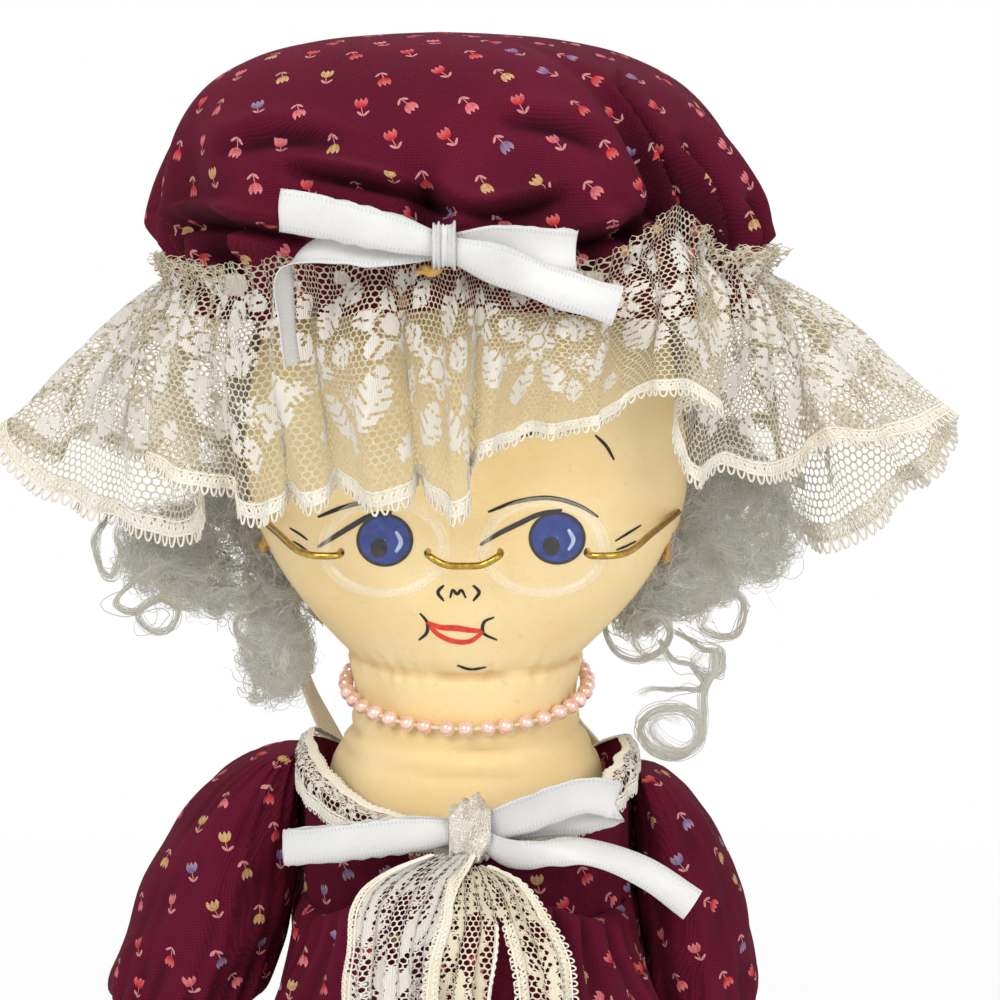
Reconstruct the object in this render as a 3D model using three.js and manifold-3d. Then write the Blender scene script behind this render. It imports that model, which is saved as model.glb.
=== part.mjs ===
// Cloth doll that hangs on a hook and keeps folded bags in its skirt.
// Millimetres, +Z up, face towards -Y. Heights are measured from the crease between head and neck,
// and the finished doll is moved so that its hanging tape bears on the origin.
import * as THREE from "three";
import { mergeVertices } from "three/addons/utils/BufferGeometryUtils.js";
import Module from "manifold-3d";

const wasm = await Module();
wasm.setup();

// Fits and thicknesses
const GAP = 0.4;
const CALICO = 1.2;
const NET = 0.8;
const SATIN = 0.6;
const ELASTIC = 1.0;

// Head, neck and chest
const HEAD_HEIGHT = 116;
const HEAD_WIDTH = 110;
const HEAD_DEPTH = 86;
const NECK_RADIUS = 27.2;
const NOD_DROP = 10;
const NECK_PLAY = 0.6;
const HEAD_LIP = 3.8;
const HEAD_RIM = 0.6;
const CHEST_WIDTH = 72;
const CHEST_DEPTH = 66;
const CHEST_LENGTH = 78;
// Each row holds a height, a half width and a half depth as shares of the sizes above
const HEAD_ROWS = [
  [0.991, 0.15, 0.16],
  [0.957, 0.4, 0.44],
  [0.888, 0.62, 0.675],
  [0.776, 0.81, 0.86],
  [0.64, 0.93, 0.953],
  [0.5, 0.99, 1],
  [0.37, 1, 1],
  [0.267, 0.96, 0.972],
  [0.18, 0.873, 0.92],
  [0.091, 0.73, 0.84],
  [0.043, 0.64, 0.77],
];
const NECK_ROWS = [
  [0.05, 1, 1],
  [0.14, 1.01, 1.01],
  [0.2, 1.03, 1.03],
];
const CHEST_ROWS = [
  [0.3, 0.87, 0.89],
  [0.39, 0.95, 0.94],
  [0.5, 0.99, 1],
  [0.72, 1, 1],
  [0.9, 0.9, 0.9],
  [0.98, 0.6, 0.6],
];
const BODY_SIDES = 24;
const SEAT_STEPS = 5;
const SEAT_TIP = 0.2;

// Cap crown: how far it stands out from the head at the sides and in front, how close its elastic
// sits behind, its height and how far below the top of the head it is gathered. Each row holds a share
// of its half width and a share of its height.
const CAP_SIDE = 23.5;
const CAP_OVERHANG = 16;
const CAP_SEAT = 0.6;
const CAP_HEIGHT = 54;
const CAP_SET = 18;
const CAP_SIDE_DROOP = 6;
const CAP_LEAN = 6;
const CAP_ROWS = [
  [0.16, 0.992],
  [0.38, 0.962],
  [0.59, 0.885],
  [0.75, 0.76],
  [0.86, 0.58],
  [0.93, 0.39],
  [0.975, 0.22],
  [0.985, 0.08],
  [0.955, 0],
  [0.9, 0],
];
const CAP_FOLDS = 11;
const CAP_FOLD_DEPTH = 0.035;
const CAP_FOLD_STEPS = 4;
const CAP_FOLD_RISE = 0.6;
const BAND_HEIGHT = 5;

// Lace round the cap: share of the crown at its top, how far its free edge stands out from the crown
// and the head, and how that edge swings in and out and is thrown up over one eye
const FRILL_TOP = 0.93;
const FRILL_DROP = 0.6;
const FRILL_SPREAD = 22.5;
const FRILL_FRONT = 18;
const FRILL_BACK = 17;
const FRILL_HEM = 46;
const FRILL_LIFT = 22;
const FRILL_LIFT_TURN = 36;
const FRILL_LIFT_POWER = 8;
const FRILL_FOLDS = 13;
const FRILL_WAVE = 15;
const FRILL_FRONT_WAVE = 4.5;
const FRILL_TILT = 7;
const FRILL_ROWS = 5;
const FRILL_FOLD_STEPS = 10;

// Spectacles
const LENS_WIDTH = 31;
const LENS_HEIGHT = 24;
const LENS_RIM = 2.2;
const LENS_PANE = 1;
const LENS_FLAT = 0.88;
const LENS_HOLE_OUT = 10.2;
const LENS_HOLE_DOWN = 1.4;
const LENS_SPREAD = 18.7;
const LENS_LEVEL = 33.7;
const LENS_STAND = 7;
const LENS_SIDES = 24;
const HOLE_SIDES = 10;
const WIRE = 0.85;
const WIRE_SIDES = 6;
const WIRE_STEPS = 24;
const WIRE_PLAY = 0.35;
const HOOK_TAIL = 2.2;
const HOOK_BEND = 2;
const BRIDGE_DIP = 2.8;
const TEMPLE_ELBOW = 37.6;
const ELBOW_BEND = 3;
const TEMPLE_END = 12;
const TEMPLE_STAND_OFF = 0.6;

// Pearls
const PEARL = 2;
const PEARL_PITCH = 5.06;
const PEARL_SIDES = 5;
const PEARL_THREAD = 0.6;
const PEARL_STEPS = [-0.42, -0.2, 0.2, 0.42];
const STRAND_EASE = 1.4;
const STRAND_LEVEL = -10.3;
const STRAND_SLOPE = 9;

// Dress bodice: ease round the chest, levels of its neckline, and its height in front
const BODICE_SIDE_EASE = 6.7;
const BODICE_FRONT_EASE = 4;
const BODICE_BACK_EASE = 3;
const NECKLINE_FRONT = -39;
const NECKLINE_SIDE = -28;
const NECKLINE_BACK = -42;
const BODICE_HEIGHT = 23;
const BODICE_ROWS = 2;
const BODICE_SIDES = 40;
const BODICE_SQUARE = 0.72;
const BAND_WIDTH = 12;
const BAND_STAND = 3;
const BAND_ROWS = 2;

// Skirt, which is the bag: what it adds to the bodice at the side, in front and behind, its drop below
// the waist and how far its front is pushed up; lower down the drop is a share of the length
const WAIST_GAP = 0.6;
const SKIRT_LENGTH = 350;
const YOKE_ROWS = [
  [-1.2, 0.5, 0, 0, 0],
  [-0.6, 6.5, 4, 1.4, 7],
  [-0.2, 12, 8, 3.4, 16],
  [0, 20, 12, 7.4, 14],
  [0.3, 26, 16, 17.4, 6],
  [1.8, 29, 19, 35.4, 0],
];
const BAG_ROWS = [
  [8.3, 31, 22, 0.194],
  [18.3, 32, 25, 0.308],
  [24.3, 32, 26, 0.466],
  [25.3, 30, 25, 0.651],
  [18.3, 23, 20, 0.823],
  [-0.7, 5, 4, 0.946],
];
const MOUTH_RADIUS = 25.5;
const HEM_FLARE = 14.5;
const HEM_DROP = 20;
const SKIRT_FOLDS = 9;
const SKIRT_FOLD_STEPS = 4;
const SKIRT_FOLD_DEPTH = [0, 0.4, 0.8, 1, 1, 1.2, 1.6, 2, 2.2, 2.4, 2.6, 2.6, 1, 3.4];
const SKIRT_PUFF_TURN = 0.25;
const SKIRT_PUFF_POWER = 3;
const SKIRT_EASE = 0.05;
const SLIT_WIDTH = 24;
const SLIT_HEIGHT = 90;
const SLIT_DROP = 73;
const SLIT_STEPS = 20;
const ELASTIC_HEIGHT = 6;

// Sleeves: drop below the side of the neckline, clearance from the bodice, half width and half depth,
// as far down as the puff; the cuff follows the arm
const SLEEVE_ROWS = {
  left: [
    [0.6, 2.8, 4, 7],
    [5, 1.2, 8.6, 14],
    [13.5, 0.4, 13.4, 20],
    [27, 0.4, 18, 24],
    [40, 1.9, 20, 25],
    [52, 6, 20, 24],
    [62, 10.3, 19.2, 21.6],
  ],
  right: [
    [5.6, 1.7, 3.6, 7],
    [9.5, 0.8, 5.9, 13],
    [17, 0.4, 9, 18],
    [27, 0.5, 11.8, 22],
    [40, 1.7, 13.5, 23],
    [52, 2.6, 14, 22],
    [62, 4.3, 13.6, 19.6],
  ],
};
// Arms: drop below the side of the neckline, distance from the bodice's side to the middle of the arm,
// half width and half depth; the cuff grips the arm at one of its rows
const ARM_ROWS = {
  left: [
    [12, 13.3, 4, 4],
    [17, 15.3, 9, 9],
    [40, 21.9, 9.6, 9.6],
    [68, 31.2, 8.6, 8.6],
    [80, 34.3, 8, 6.6],
    [94, 37.3, 9.8, 6.8],
    [108, 40.3, 10, 6.4],
    [118, 42.3, 7.6, 5],
    [122, 42.9, 3.6, 2.6],
  ],
  right: [
    [17, 9.9, 3, 4],
    [23, 11.3, 7, 8],
    [40, 14.8, 8.4, 9],
    [68, 19.2, 7.8, 8],
    [80, 21.3, 8, 6.6],
    [94, 24.7, 9.6, 6.8],
    [108, 28.3, 9.8, 6.4],
    [118, 30.7, 7.6, 5],
    [122, 31.5, 3.6, 2.6],
  ],
};
const CUFF_ROW = 3;
const CUFF_FRILL = 10;
const CUFF_FLARE = 5;
const SLEEVE_SIDES = 20;
const ARM_SIDES = 14;
const CUFF_ELASTIC = 3;
const ARM_FORWARD = 0.06;

// Ribbons: places and width directions along each bow, from its middle; a shorter direction is narrower
const RIBBON_WIDTH = 9.2;
const RIBBON_STEPS = 60;
const CAP_BOW_ACROSS = -4.1;
const CAP_BOW_STAND = 4.95;
const CAP_BOW_RISE = 7.5;
const CAP_BOW_LINE = [
  [-36, -1, -26, 0.75, 0.65, 0],
  [-36.5, -1.2, -14, 0.75, 0.6, 0.1],
  [-35.5, -0.5, -4, 0.55, 0.35, 0.5],
  [-28, 1, 0, 0, 0.2, 0.95],
  [-14, 1.9, -1.5, 0, 0, 0.9],
  [0, 1.6, -0.3, 0, 0, 0.55],
  [14, 2.2, 0, 0, 0, 0.9],
  [26, 2.6, -1, 0, 0, 1],
  [30, 0.6, -1.4, 0, 0, 1],
  [26, -1.4, -1, 0, 0, 1],
  [12, -1, 0.4, 0, 0, 0.9],
  [0, 0, 0, 0, 0, 0.6],
  [-12, 0.2, 3, 0, 0, 0.9],
  [-30, 0, 7, 0, 0, 1],
  [-36.4, -1.6, 8.1, 0, 0, 1],
  [-30, -3.2, 7.2, 0, 0, 1],
  [-12, -2.8, 3, 0, 0, 0.9],
  [0, -1.6, -0.2, 0, 0, 0.55],
  [12, -3, -4, 0.1, 0, 0.95],
  [25, -2.8, -9, 0.35, 0, 0.93],
  [39, -2.2, -13.4, 0.3, 0, 0.95],
];
const CHEST_BOW_ACROSS = 1.2;
const CHEST_BOW_STAND = 4.6;
const CHEST_BOW_RISE = 1.5;
const CHEST_BOW_LINE = [
  [-9, 1, -4.6, 0.3, 0, 0.9],
  [0, 1.6, -0.3, 0, 0, 0.55],
  [13, 1.8, 2, 0, 0, 0.9],
  [29, 2.2, 4, 0, 0.2, 0.95],
  [35.5, 0.2, 7, 0, 0.2, 0.95],
  [29, -2, 9.5, 0, 0.1, 0.95],
  [12, -1.2, 4, 0, 0, 0.9],
  [0, 0, 0, 0, 0, 0.6],
  [-12, 0.2, -0.5, 0, 0, 0.9],
  [-36, 0, -3, 0, 0, 0.95],
  [-44.5, -1.6, -3.6, 0, 0, 0.95],
  [-36, -3.2, -2.6, 0, 0, 0.95],
  [-12, -2.8, 0, 0, 0, 0.9],
  [0, -1.6, -0.2, 0, 0, 0.55],
  [10, -3.2, -3.8, 0, 0, 0.9],
  [28, -3, -4.6, 0, 0, 1],
  [42, -2.4, -10, 0.3, 0, 0.95],
  [53.7, -1.5, -19, 0.5, 0, 0.85],
];
const KNOT_WIDTH = 6;
const KNOT_HEIGHT = 13.6;
const KNOT_DEPTH = 8;
const KNOT_WALL = 1.1;
const KNOT_SIDES = 12;
const KNOT_SQUARE = 0.6;

// Jabot: height above the waist, distance ahead of the bodice, inner edge and outer edge of each lace
// panel, below a top that is tucked up behind the bow
const JABOT_TUCK = 5.4;
const JABOT_TOP = 6.5;
const JABOT_LEFT = [
  [14.5, 10, -2, -12],
  [12.8, 14.5, -4, -17],
  [7.5, 21.5, -5.5, -21],
  [0, 26, -6.5, -23.5],
  [-14, 29.5, -7, -25],
  [-36, 32, -7, -26],
  [-68, 34.5, -8, -26],
];
const JABOT_LEFT_TOP = [0, -6];
const JABOT_RIGHT = [
  [14.5, 10, 0.5, 12],
  [12.8, 14.5, -1.5, 15.5],
  [7.5, 21.5, -3.6, 18.5],
  [0, 26, -4.8, 20.5],
  [-14, 29.5, -5.4, 23],
  [-36, 32, -5.6, 24],
  [-74, 35, -6, 25],
];
const JABOT_RIGHT_TOP = [1.4, 5];
const JABOT_COLUMNS = 8;
const JABOT_WAVE = 2.4;

// Hanging tape: where round the bodice it is sewn on, and how far each leg stands out from the side of
// the bodice, back from it, and up as a share of the rise to its level top
const TAPE_WIDTH = 8;
const TAPE = 1;
const TAPE_TURN = 225;
const TAPE_FOOT = 7;
const TAPE_SEAM = 10;
const TAPE_EASE = 0.25;
const TAPE_LEGS = {
  left: [
    [1.3, 0, 0.347],
    [3.3, 7, 0.587],
    [-2.7, 14, 0.813],
    [-18.7, 19.5, 0.96],
  ],
  right: [
    [-15.7, 1.5, 0.2],
    [-16.7, 8, 0.427],
    [-13.7, 14, 0.64],
    [-14.7, 18, 0.84],
    [-20.7, 20.5, 0.96],
  ],
};
const TAPE_RISE = 75;
const TAPE_STAND = 21;
const TAPE_RUN = 9;
const TAPE_FLAT = 12;
const TAPE_TWIST = 35;
const TAPE_STEPS = 14;

// Hair: places are measured out from the side of the head. Each tuft has a middle and half sizes, and
// each curl two ends, a radius and a number of turns
const HAIR_BACK = 4.4;
const HAIR_BACK_TOP = 36;
const HAIR_BACK_BOTTOM = 8;
const HAIR_BACK_FRONT = 14;
const HAIR_BACK_SIDE = 12;
const TUFTS = {
  left: [
    [4, 8, 34, 14, 17, 26],
    [11, 4, 13, 17, 14, 14],
    [-6, 3, 0, 10, 11, 15],
  ],
  right: [
    [5, 8, 38, 13, 17, 24],
    [14, 4, 25, 15, 14, 15],
    [0, 0, 7, 15, 13, 12],
  ],
};
const TUFT_SIDES = 11;
const TUFT_ROWS = 7;
const TEMPLE_ROOM = 7;
const STRAND = 1.1;
const CURL_STEPS = 8;
const CURL_SIDES = 5;
const CURLS = {
  right_ringlet: [[-3, -9, 1], [0, -15, -23], 5.6, 2.5],
  right_upper_curl: [[19, -4, 14], [17, -10, -3], 4.6, 2.5],
  right_inner_curl: [[-13, -3, 4], [-15, -4, -8], 3.4, 2.25],
  left_ringlet: [[-9, -4, -8], [-10, -6, -22], 4.6, 2.25],
  left_outer_curl: [[21, 0, 12], [35, -1, 6], 4.4, 2.25],
  left_upper_curl: [[21, 4, 22], [36, 4, 24], 4, 2],
};
const SIDES = { left: -1, right: 1 };

// Sizes that follow from those above
const capHalf = HEAD_WIDTH / 2 + CAP_SIDE;
const capFront = HEAD_DEPTH / 2 + CAP_OVERHANG;
const capGather = HEAD_HEIGHT - CAP_SET;
const frillSpread = capHalf + FRILL_SPREAD;
const frillFront = HEAD_DEPTH / 2 + FRILL_FRONT;
const frillBack = HEAD_DEPTH / 2 + FRILL_BACK;
const lensForward = HEAD_DEPTH / 2 + LENS_STAND;
const strandRadius = NECK_RADIUS + PEARL + STRAND_EASE;
const bodiceHalf = CHEST_WIDTH / 2 + BODICE_SIDE_EASE;
const bodiceFront = CHEST_DEPTH / 2 + BODICE_FRONT_EASE;
const bodiceBack = CHEST_DEPTH / 2 + BODICE_BACK_EASE;
const waist = NECKLINE_FRONT - BODICE_HEIGHT;
const tapeBack = bodiceBack + TAPE_STAND;
const tapeTop = NECKLINE_BACK + TAPE_RISE;

const at = (x, y, z) => new THREE.Vector3(x, y, z);

// One oval ring at a level, from the front round by the right side
function oval(sides, halfWidth, front, back, level, middleX = 0, middleY = 0, power = 1) {
  const ring = [];
  for (let j = 0; j < sides; j++) {
    const turn = (2 * Math.PI * j) / sides;
    const across = Math.sin(turn);
    const ahead = Math.cos(turn);
    const depth = ahead > 0 ? front : back;
    ring.push(
      at(
        middleX + halfWidth * Math.sign(across) * Math.abs(across) ** power,
        middleY - depth * Math.sign(ahead) * Math.abs(ahead) ** power,
        level,
      ),
    );
  }
  return ring;
}

function middleOf(ring) {
  const sum = ring.reduce((total, point) => total.add(point), at(0, 0, 0));
  return sum.divideScalar(ring.length);
}

// Geometry of points and faces, turned so that its faces look outwards
function solid(points, faces) {
  let volume = 0;
  for (const [a, b, c] of faces) {
    volume += points[a].dot(points[b].clone().cross(points[c]));
  }
  const turned = volume > 0 ? faces : faces.map(([a, b, c]) => [a, c, b]);
  const geometry = new THREE.BufferGeometry();
  const numbers = points.flatMap((point) => [point.x, point.y, point.z]);
  geometry.setAttribute("position", new THREE.Float32BufferAttribute(numbers, 3));
  geometry.setIndex(turned.flat());
  return geometry;
}

function wallFaces(faces, upper, lower, count) {
  for (let j = 0; j < count; j++) {
    const next = (j + 1) % count;
    faces.push([upper + j, upper + next, lower + next]);
    faces.push([upper + j, lower + next, lower + j]);
  }
}

// Body through rings, closed on the middle of its first and last ring
function loft(rings) {
  const count = rings[0].length;
  const points = rings.flat();
  const end = points.length - count;
  const faces = [];
  for (let i = 0; i + 1 < rings.length; i++) {
    wallFaces(faces, i * count, (i + 1) * count, count);
  }
  const first = points.push(middleOf(rings[0])) - 1;
  const last = points.push(middleOf(rings.at(-1))) - 1;
  for (let j = 0; j < count; j++) {
    const next = (j + 1) % count;
    faces.push([first, next, j]);
    faces.push([last, end + j, end + next]);
  }
  return solid(points, faces);
}

// Hoop through rings, joined last to first
function hoop(rings) {
  const count = rings[0].length;
  const faces = [];
  for (let i = 0; i < rings.length; i++) {
    wallFaces(faces, i * count, ((i + 1) % rings.length) * count, count);
  }
  return solid(rings.flat(), faces);
}

// Rings that run downwards, moved into the form along its surface normal
function inside(rings, distance) {
  const end = rings.length - 1;
  return rings.map((ring, i) =>
    ring.map((point, j) => {
      const count = ring.length;
      const around = ring[(j + 1) % count].clone().sub(ring[(j + count - 1) % count]);
      const along = rings[Math.min(i + 1, end)][j].clone().sub(rings[Math.max(i - 1, 0)][j]);
      return point.clone().addScaledVector(around.cross(along).normalize(), distance);
    }),
  );
}

// Open tube of cloth, its two walls cut into the same triangles so that they keep apart in a fold
function tubeOf(outer, thickness) {
  const count = outer[0].length;
  const outerPoints = outer.flat();
  const behind = outerPoints.length;
  const last = behind - count;
  const walls = [];
  for (let i = 0; i + 1 < outer.length; i++) {
    wallFaces(walls, i * count, (i + 1) * count, count);
  }
  const faces = [...walls, ...walls.map(([a, b, c]) => [behind + a, behind + c, behind + b])];
  wallFaces(faces, behind, 0, count);
  wallFaces(faces, last, behind + last, count);
  return solid([...outerPoints, ...inside(outer, thickness).flat()], faces);
}

// Cup of cloth closed at the top
const cupOf = (outer, thickness) => loft([...outer, ...inside(outer, thickness).reverse()]);

// Sheet between a grid of points and the same grid moved back
function sheet(grid, back) {
  const columns = grid[0].length;
  const front = grid.flat();
  const points = [...front, ...front.map((point) => point.clone().add(back))];
  const behind = front.length;
  const faces = [];
  const quad = (a, b, c, d) => faces.push([a, b, c], [a, c, d]);
  for (let i = 0; i + 1 < grid.length; i++) {
    const upper = i * columns;
    const lower = upper + columns;
    const end = columns - 1;
    for (let j = 0; j < end; j++) {
      quad(upper + j, upper + j + 1, lower + j + 1, lower + j);
      quad(behind + upper + j + 1, behind + upper + j, behind + lower + j, behind + lower + j + 1);
    }
    quad(behind + upper, upper, lower, behind + lower);
    quad(upper + end, behind + upper + end, behind + lower + end, lower + end);
  }
  const last = behind - columns;
  for (let j = 0; j + 1 < columns; j++) {
    quad(j + 1, j, behind + j, behind + j + 1);
    quad(last + j, last + j + 1, behind + last + j + 1, behind + last + j);
  }
  return solid(points, faces);
}

function band(points, sides, width, thickness) {
  const rings = points.map((point, i) => {
    const before = points[Math.max(i - 1, 0)];
    const after = points[Math.min(i + 1, points.length - 1)];
    const along = after.clone().sub(before).normalize();
    const side = sides[i].clone().addScaledVector(along, -sides[i].dot(along)).normalize();
    const normal = side.clone().cross(along).multiplyScalar(thickness / 2);
    side.multiplyScalar((sides[i].length() * width) / 2);
    return [
      point.clone().add(side).add(normal),
      point.clone().sub(side).add(normal),
      point.clone().sub(side).sub(normal),
      point.clone().add(side).sub(normal),
    ];
  });
  return loft(rings);
}

// Ribbon that follows a smooth line through knots of place and width direction
function ribbon(knots, centre, steps) {
  const places = knots.map(([x, y, z]) => at(centre[0] + x, centre[1] + y, centre[2] + z));
  const turns = knots.map(([, , , sx, sy, sz]) => at(sx, sy, sz));
  const line = new THREE.CatmullRomCurve3(places, false, "centripetal");
  const sides = new THREE.CatmullRomCurve3(turns, false, "centripetal");
  const points = [];
  const directions = [];
  for (let i = 0; i <= steps; i++) {
    points.push(line.getPoint(i / steps));
    directions.push(sides.getPoint(i / steps));
  }
  return band(points, directions, RIBBON_WIDTH, SATIN);
}

function plain(geometry) {
  geometry.deleteAttribute("normal");
  geometry.deleteAttribute("uv");
  return mergeVertices(geometry);
}

// Round wire or strand along a curve
function strandAlong(curve, radius, steps, sides) {
  const section = new THREE.Shape();
  for (let j = 0; j < sides; j++) {
    const turn = (2 * Math.PI * j) / sides;
    section.lineTo(radius * Math.cos(turn), radius * Math.sin(turn));
  }
  section.curves.shift();
  section.closePath();
  return plain(new THREE.ExtrudeGeometry(section, { steps, extrudePath: curve, bevelEnabled: false }));
}

function manifoldOf(geometry) {
  return new wasm.Manifold(
    new wasm.Mesh({
      numProp: 3,
      vertProperties: new Float32Array(geometry.attributes.position.array),
      triVerts: new Uint32Array(geometry.index.array),
    }),
  );
}

function geometryOf(manifold) {
  const made = manifold.getMesh();
  const geometry = new THREE.BufferGeometry();
  geometry.setAttribute("position", new THREE.BufferAttribute(made.vertProperties, 3));
  geometry.setIndex(new THREE.BufferAttribute(made.triVerts, 1));
  return geometry;
}

function cut(geometry, tools) {
  const left = tools.reduce((body, tool) => body.subtract(manifoldOf(tool)), manifoldOf(geometry));
  return geometryOf(left);
}

const doll = new THREE.Group();
doll.name = "doll";

function piece(name, geometry, color, roughness = 0.85, metalness = 0) {
  const material = new THREE.MeshStandardMaterial({ color, roughness, metalness });
  const made = new THREE.Mesh(geometry, material);
  made.name = name;
  doll.add(made);
}

const MUSLIN = 0xf3dcae;
const BURGUNDY = 0x5c1730;
const CREAM = 0xe9e1cd;
const WHITE = 0xf2f2f0;
const SILVER = 0x979993;
const BRASS = 0xa98a3c;
const CLEAR = 0xe6ecec;
const PEACH = 0xf0c4b4;
const BEIGE = 0xcdb58f;

// Stuffed head, hollowed below to seat on the rounded top of the neck
function headRings(grow) {
  const rings = HEAD_ROWS.map(([height, width, depth]) =>
    oval(
      BODY_SIDES,
      (width * HEAD_WIDTH) / 2 + grow,
      (depth * HEAD_DEPTH) / 2 + grow,
      (depth * HEAD_DEPTH) / 2 + grow,
      height * HEAD_HEIGHT + grow * (2 * height - 1),
    ),
  );
  const lip = NECK_RADIUS + HEAD_LIP + grow;
  return [...rings, oval(BODY_SIDES, lip, lip, lip, HEAD_RIM - grow)];
}

// Half width and half depth of the head at a level
function headSize(level) {
  const share = level / HEAD_HEIGHT;
  const upper = HEAD_ROWS.findLastIndex(([height]) => height >= share);
  const [high, wide, deep] = HEAD_ROWS[upper];
  const [low, narrow, shallow] = HEAD_ROWS[upper + 1];
  const part = (share - low) / (high - low);
  return [
    ((narrow + (wide - narrow) * part) * HEAD_WIDTH) / 2,
    ((shallow + (deep - shallow) * part) * HEAD_DEPTH) / 2,
  ];
}

// Rings of a dome about the nodding axis, from its top to its rim
function seatRings(radius, rim) {
  const reach = Math.acos((rim + NOD_DROP) / radius);
  const rings = [];
  for (let i = 0; i <= SEAT_STEPS; i++) {
    const slope = (reach * Math.max(i, SEAT_TIP)) / SEAT_STEPS;
    const across = radius * Math.sin(slope);
    rings.push(oval(BODY_SIDES, across, across, across, radius * Math.cos(slope) - NOD_DROP));
  }
  return rings;
}

const seatRadius = Math.hypot(NECK_RADIUS, NOD_DROP);
const socket = seatRings(seatRadius + NECK_PLAY, HEAD_RIM);
piece("head", loft([...headRings(0), ...socket.reverse()]), MUSLIN);

function bodyRings(rows, width, depth, length) {
  return rows.map(([drop, across, ahead]) =>
    oval(BODY_SIDES, across * width, ahead * depth, ahead * depth, -drop * length),
  );
}
const neckRings = bodyRings(NECK_ROWS, NECK_RADIUS, NECK_RADIUS, CHEST_LENGTH);
const chestRings = bodyRings(CHEST_ROWS, CHEST_WIDTH / 2, CHEST_DEPTH / 2, CHEST_LENGTH);
piece("neck_and_chest", loft([...seatRings(seatRadius, 0), ...neckRings, ...chestRings]), MUSLIN);

// Cap crown with its gathers, and the elastic under its edge
const capEdge = CAP_ROWS.at(-1)[0];
const bandOut = GAP + CAP_FOLD_DEPTH * capEdge * capHalf;
const bandHead = headSize(capGather - BAND_HEIGHT / 2)[1];
const capBack = (bandHead + CAP_SEAT + ELASTIC + bandOut) / capEdge;
function gatherLevel(turn) {
  return capGather - CAP_SIDE_DROOP * Math.abs(Math.sin(turn));
}
const capSides = CAP_FOLDS * CAP_FOLD_STEPS;
const capRings = CAP_ROWS.map(([share, lift]) => {
  const ring = [];
  for (let j = 0; j < capSides; j++) {
    const turn = (2 * Math.PI * j) / capSides;
    const low = Math.max(0, 1 - lift / CAP_FOLD_RISE);
    const fold = 1 + CAP_FOLD_DEPTH * low * Math.cos(CAP_FOLDS * turn);
    const depth = Math.cos(turn) > 0 ? capFront : capBack;
    ring.push(
      at(
        share * fold * capHalf * Math.sin(turn) - CAP_LEAN * lift,
        -share * fold * depth * Math.cos(turn),
        gatherLevel(turn) * (1 - lift) + (capGather + CAP_HEIGHT) * lift,
      ),
    );
  }
  return ring;
});
piece("cap_crown", cupOf(capRings, CALICO), BURGUNDY);

function bandRing(inset, drop) {
  const ring = [];
  for (let j = 0; j < capSides; j++) {
    const turn = (2 * Math.PI * j) / capSides;
    const depth = (Math.cos(turn) > 0 ? capFront : capBack) * capEdge;
    ring.push(
      at(
        (capHalf * capEdge - inset) * Math.sin(turn),
        -(depth - inset) * Math.cos(turn),
        gatherLevel(turn) - drop,
      ),
    );
  }
  return ring;
}
piece(
  "cap_elastic",
  hoop([
    bandRing(bandOut, -BAND_HEIGHT / 2),
    bandRing(bandOut, BAND_HEIGHT / 2),
    bandRing(bandOut + ELASTIC, BAND_HEIGHT / 2),
    bandRing(bandOut + ELASTIC, -BAND_HEIGHT / 2),
  ]),
  WHITE,
);

// Lace round the cap, fluted towards its free edge
const frillSides = FRILL_FOLDS * FRILL_FOLD_STEPS;
const frillRings = [];
for (let i = 0; i <= FRILL_ROWS; i++) {
  const down = i / FRILL_ROWS;
  const ring = [];
  for (let j = 0; j < frillSides; j++) {
    const turn = (2 * Math.PI * j) / frillSides;
    const across = Math.sin(turn);
    const ahead = Math.cos(turn);
    const wave = down * Math.cos(FRILL_FOLDS * turn);
    const swing = FRILL_FRONT_WAVE + (FRILL_WAVE - FRILL_FRONT_WAVE) * across * across;
    const topDepth = (ahead > 0 ? capFront : capBack) * FRILL_TOP;
    const endDepth = ahead > 0 ? frillFront : frillBack;
    const bow = Math.sin((Math.PI * down) / 2);
    const towards = Math.max(0, Math.cos(turn - THREE.MathUtils.degToRad(FRILL_LIFT_TURN)));
    const raised = FRILL_LIFT * towards ** FRILL_LIFT_POWER;
    const hem = FRILL_HEM + raised + FRILL_TILT * Math.cos(FRILL_FOLDS * turn);
    const top = gatherLevel(turn) - FRILL_DROP;
    ring.push(
      at(
        across * (capHalf * FRILL_TOP * (1 - bow) + frillSpread * bow + swing * wave),
        -ahead * (topDepth * (1 - bow) + endDepth * bow + swing * wave),
        top + (hem - top) * down,
      ),
    );
  }
  frillRings.push(ring);
}
piece("cap_lace", tubeOf(frillRings, NET), CREAM, 0.95);

// Spectacles: lenses with raised rims, and wire hooked through their holes
function lensRing(share, forward) {
  const ring = [];
  for (let j = 0; j < LENS_SIDES; j++) {
    const turn = (2 * Math.PI * j) / LENS_SIDES;
    ring.push(
      at((share * LENS_WIDTH * Math.sin(turn)) / 2, forward, (share * LENS_HEIGHT * Math.cos(turn)) / 2),
    );
  }
  return ring;
}
const lensBody = loft([
  lensRing(LENS_FLAT, -LENS_PANE / 2),
  lensRing(LENS_FLAT, -LENS_RIM / 2),
  lensRing(1, -LENS_RIM / 2),
  lensRing(1, LENS_RIM / 2),
  lensRing(LENS_FLAT, LENS_RIM / 2),
  lensRing(LENS_FLAT, LENS_PANE / 2),
]);
const holes = [-1, 1].map((side) => {
  const radius = WIRE + WIRE_PLAY;
  const hole = plain(new THREE.CylinderGeometry(radius, radius, 2 * LENS_RIM, HOLE_SIDES));
  return hole.translate(side * LENS_HOLE_OUT, 0, -LENS_HOLE_DOWN);
});
const lens = cut(lensBody, holes);
for (const [name, side] of Object.entries(SIDES)) {
  piece(`${name}_lens`, lens.clone().translate(side * LENS_SPREAD, -lensForward, LENS_LEVEL), CLEAR, 0.1);
}

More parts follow.
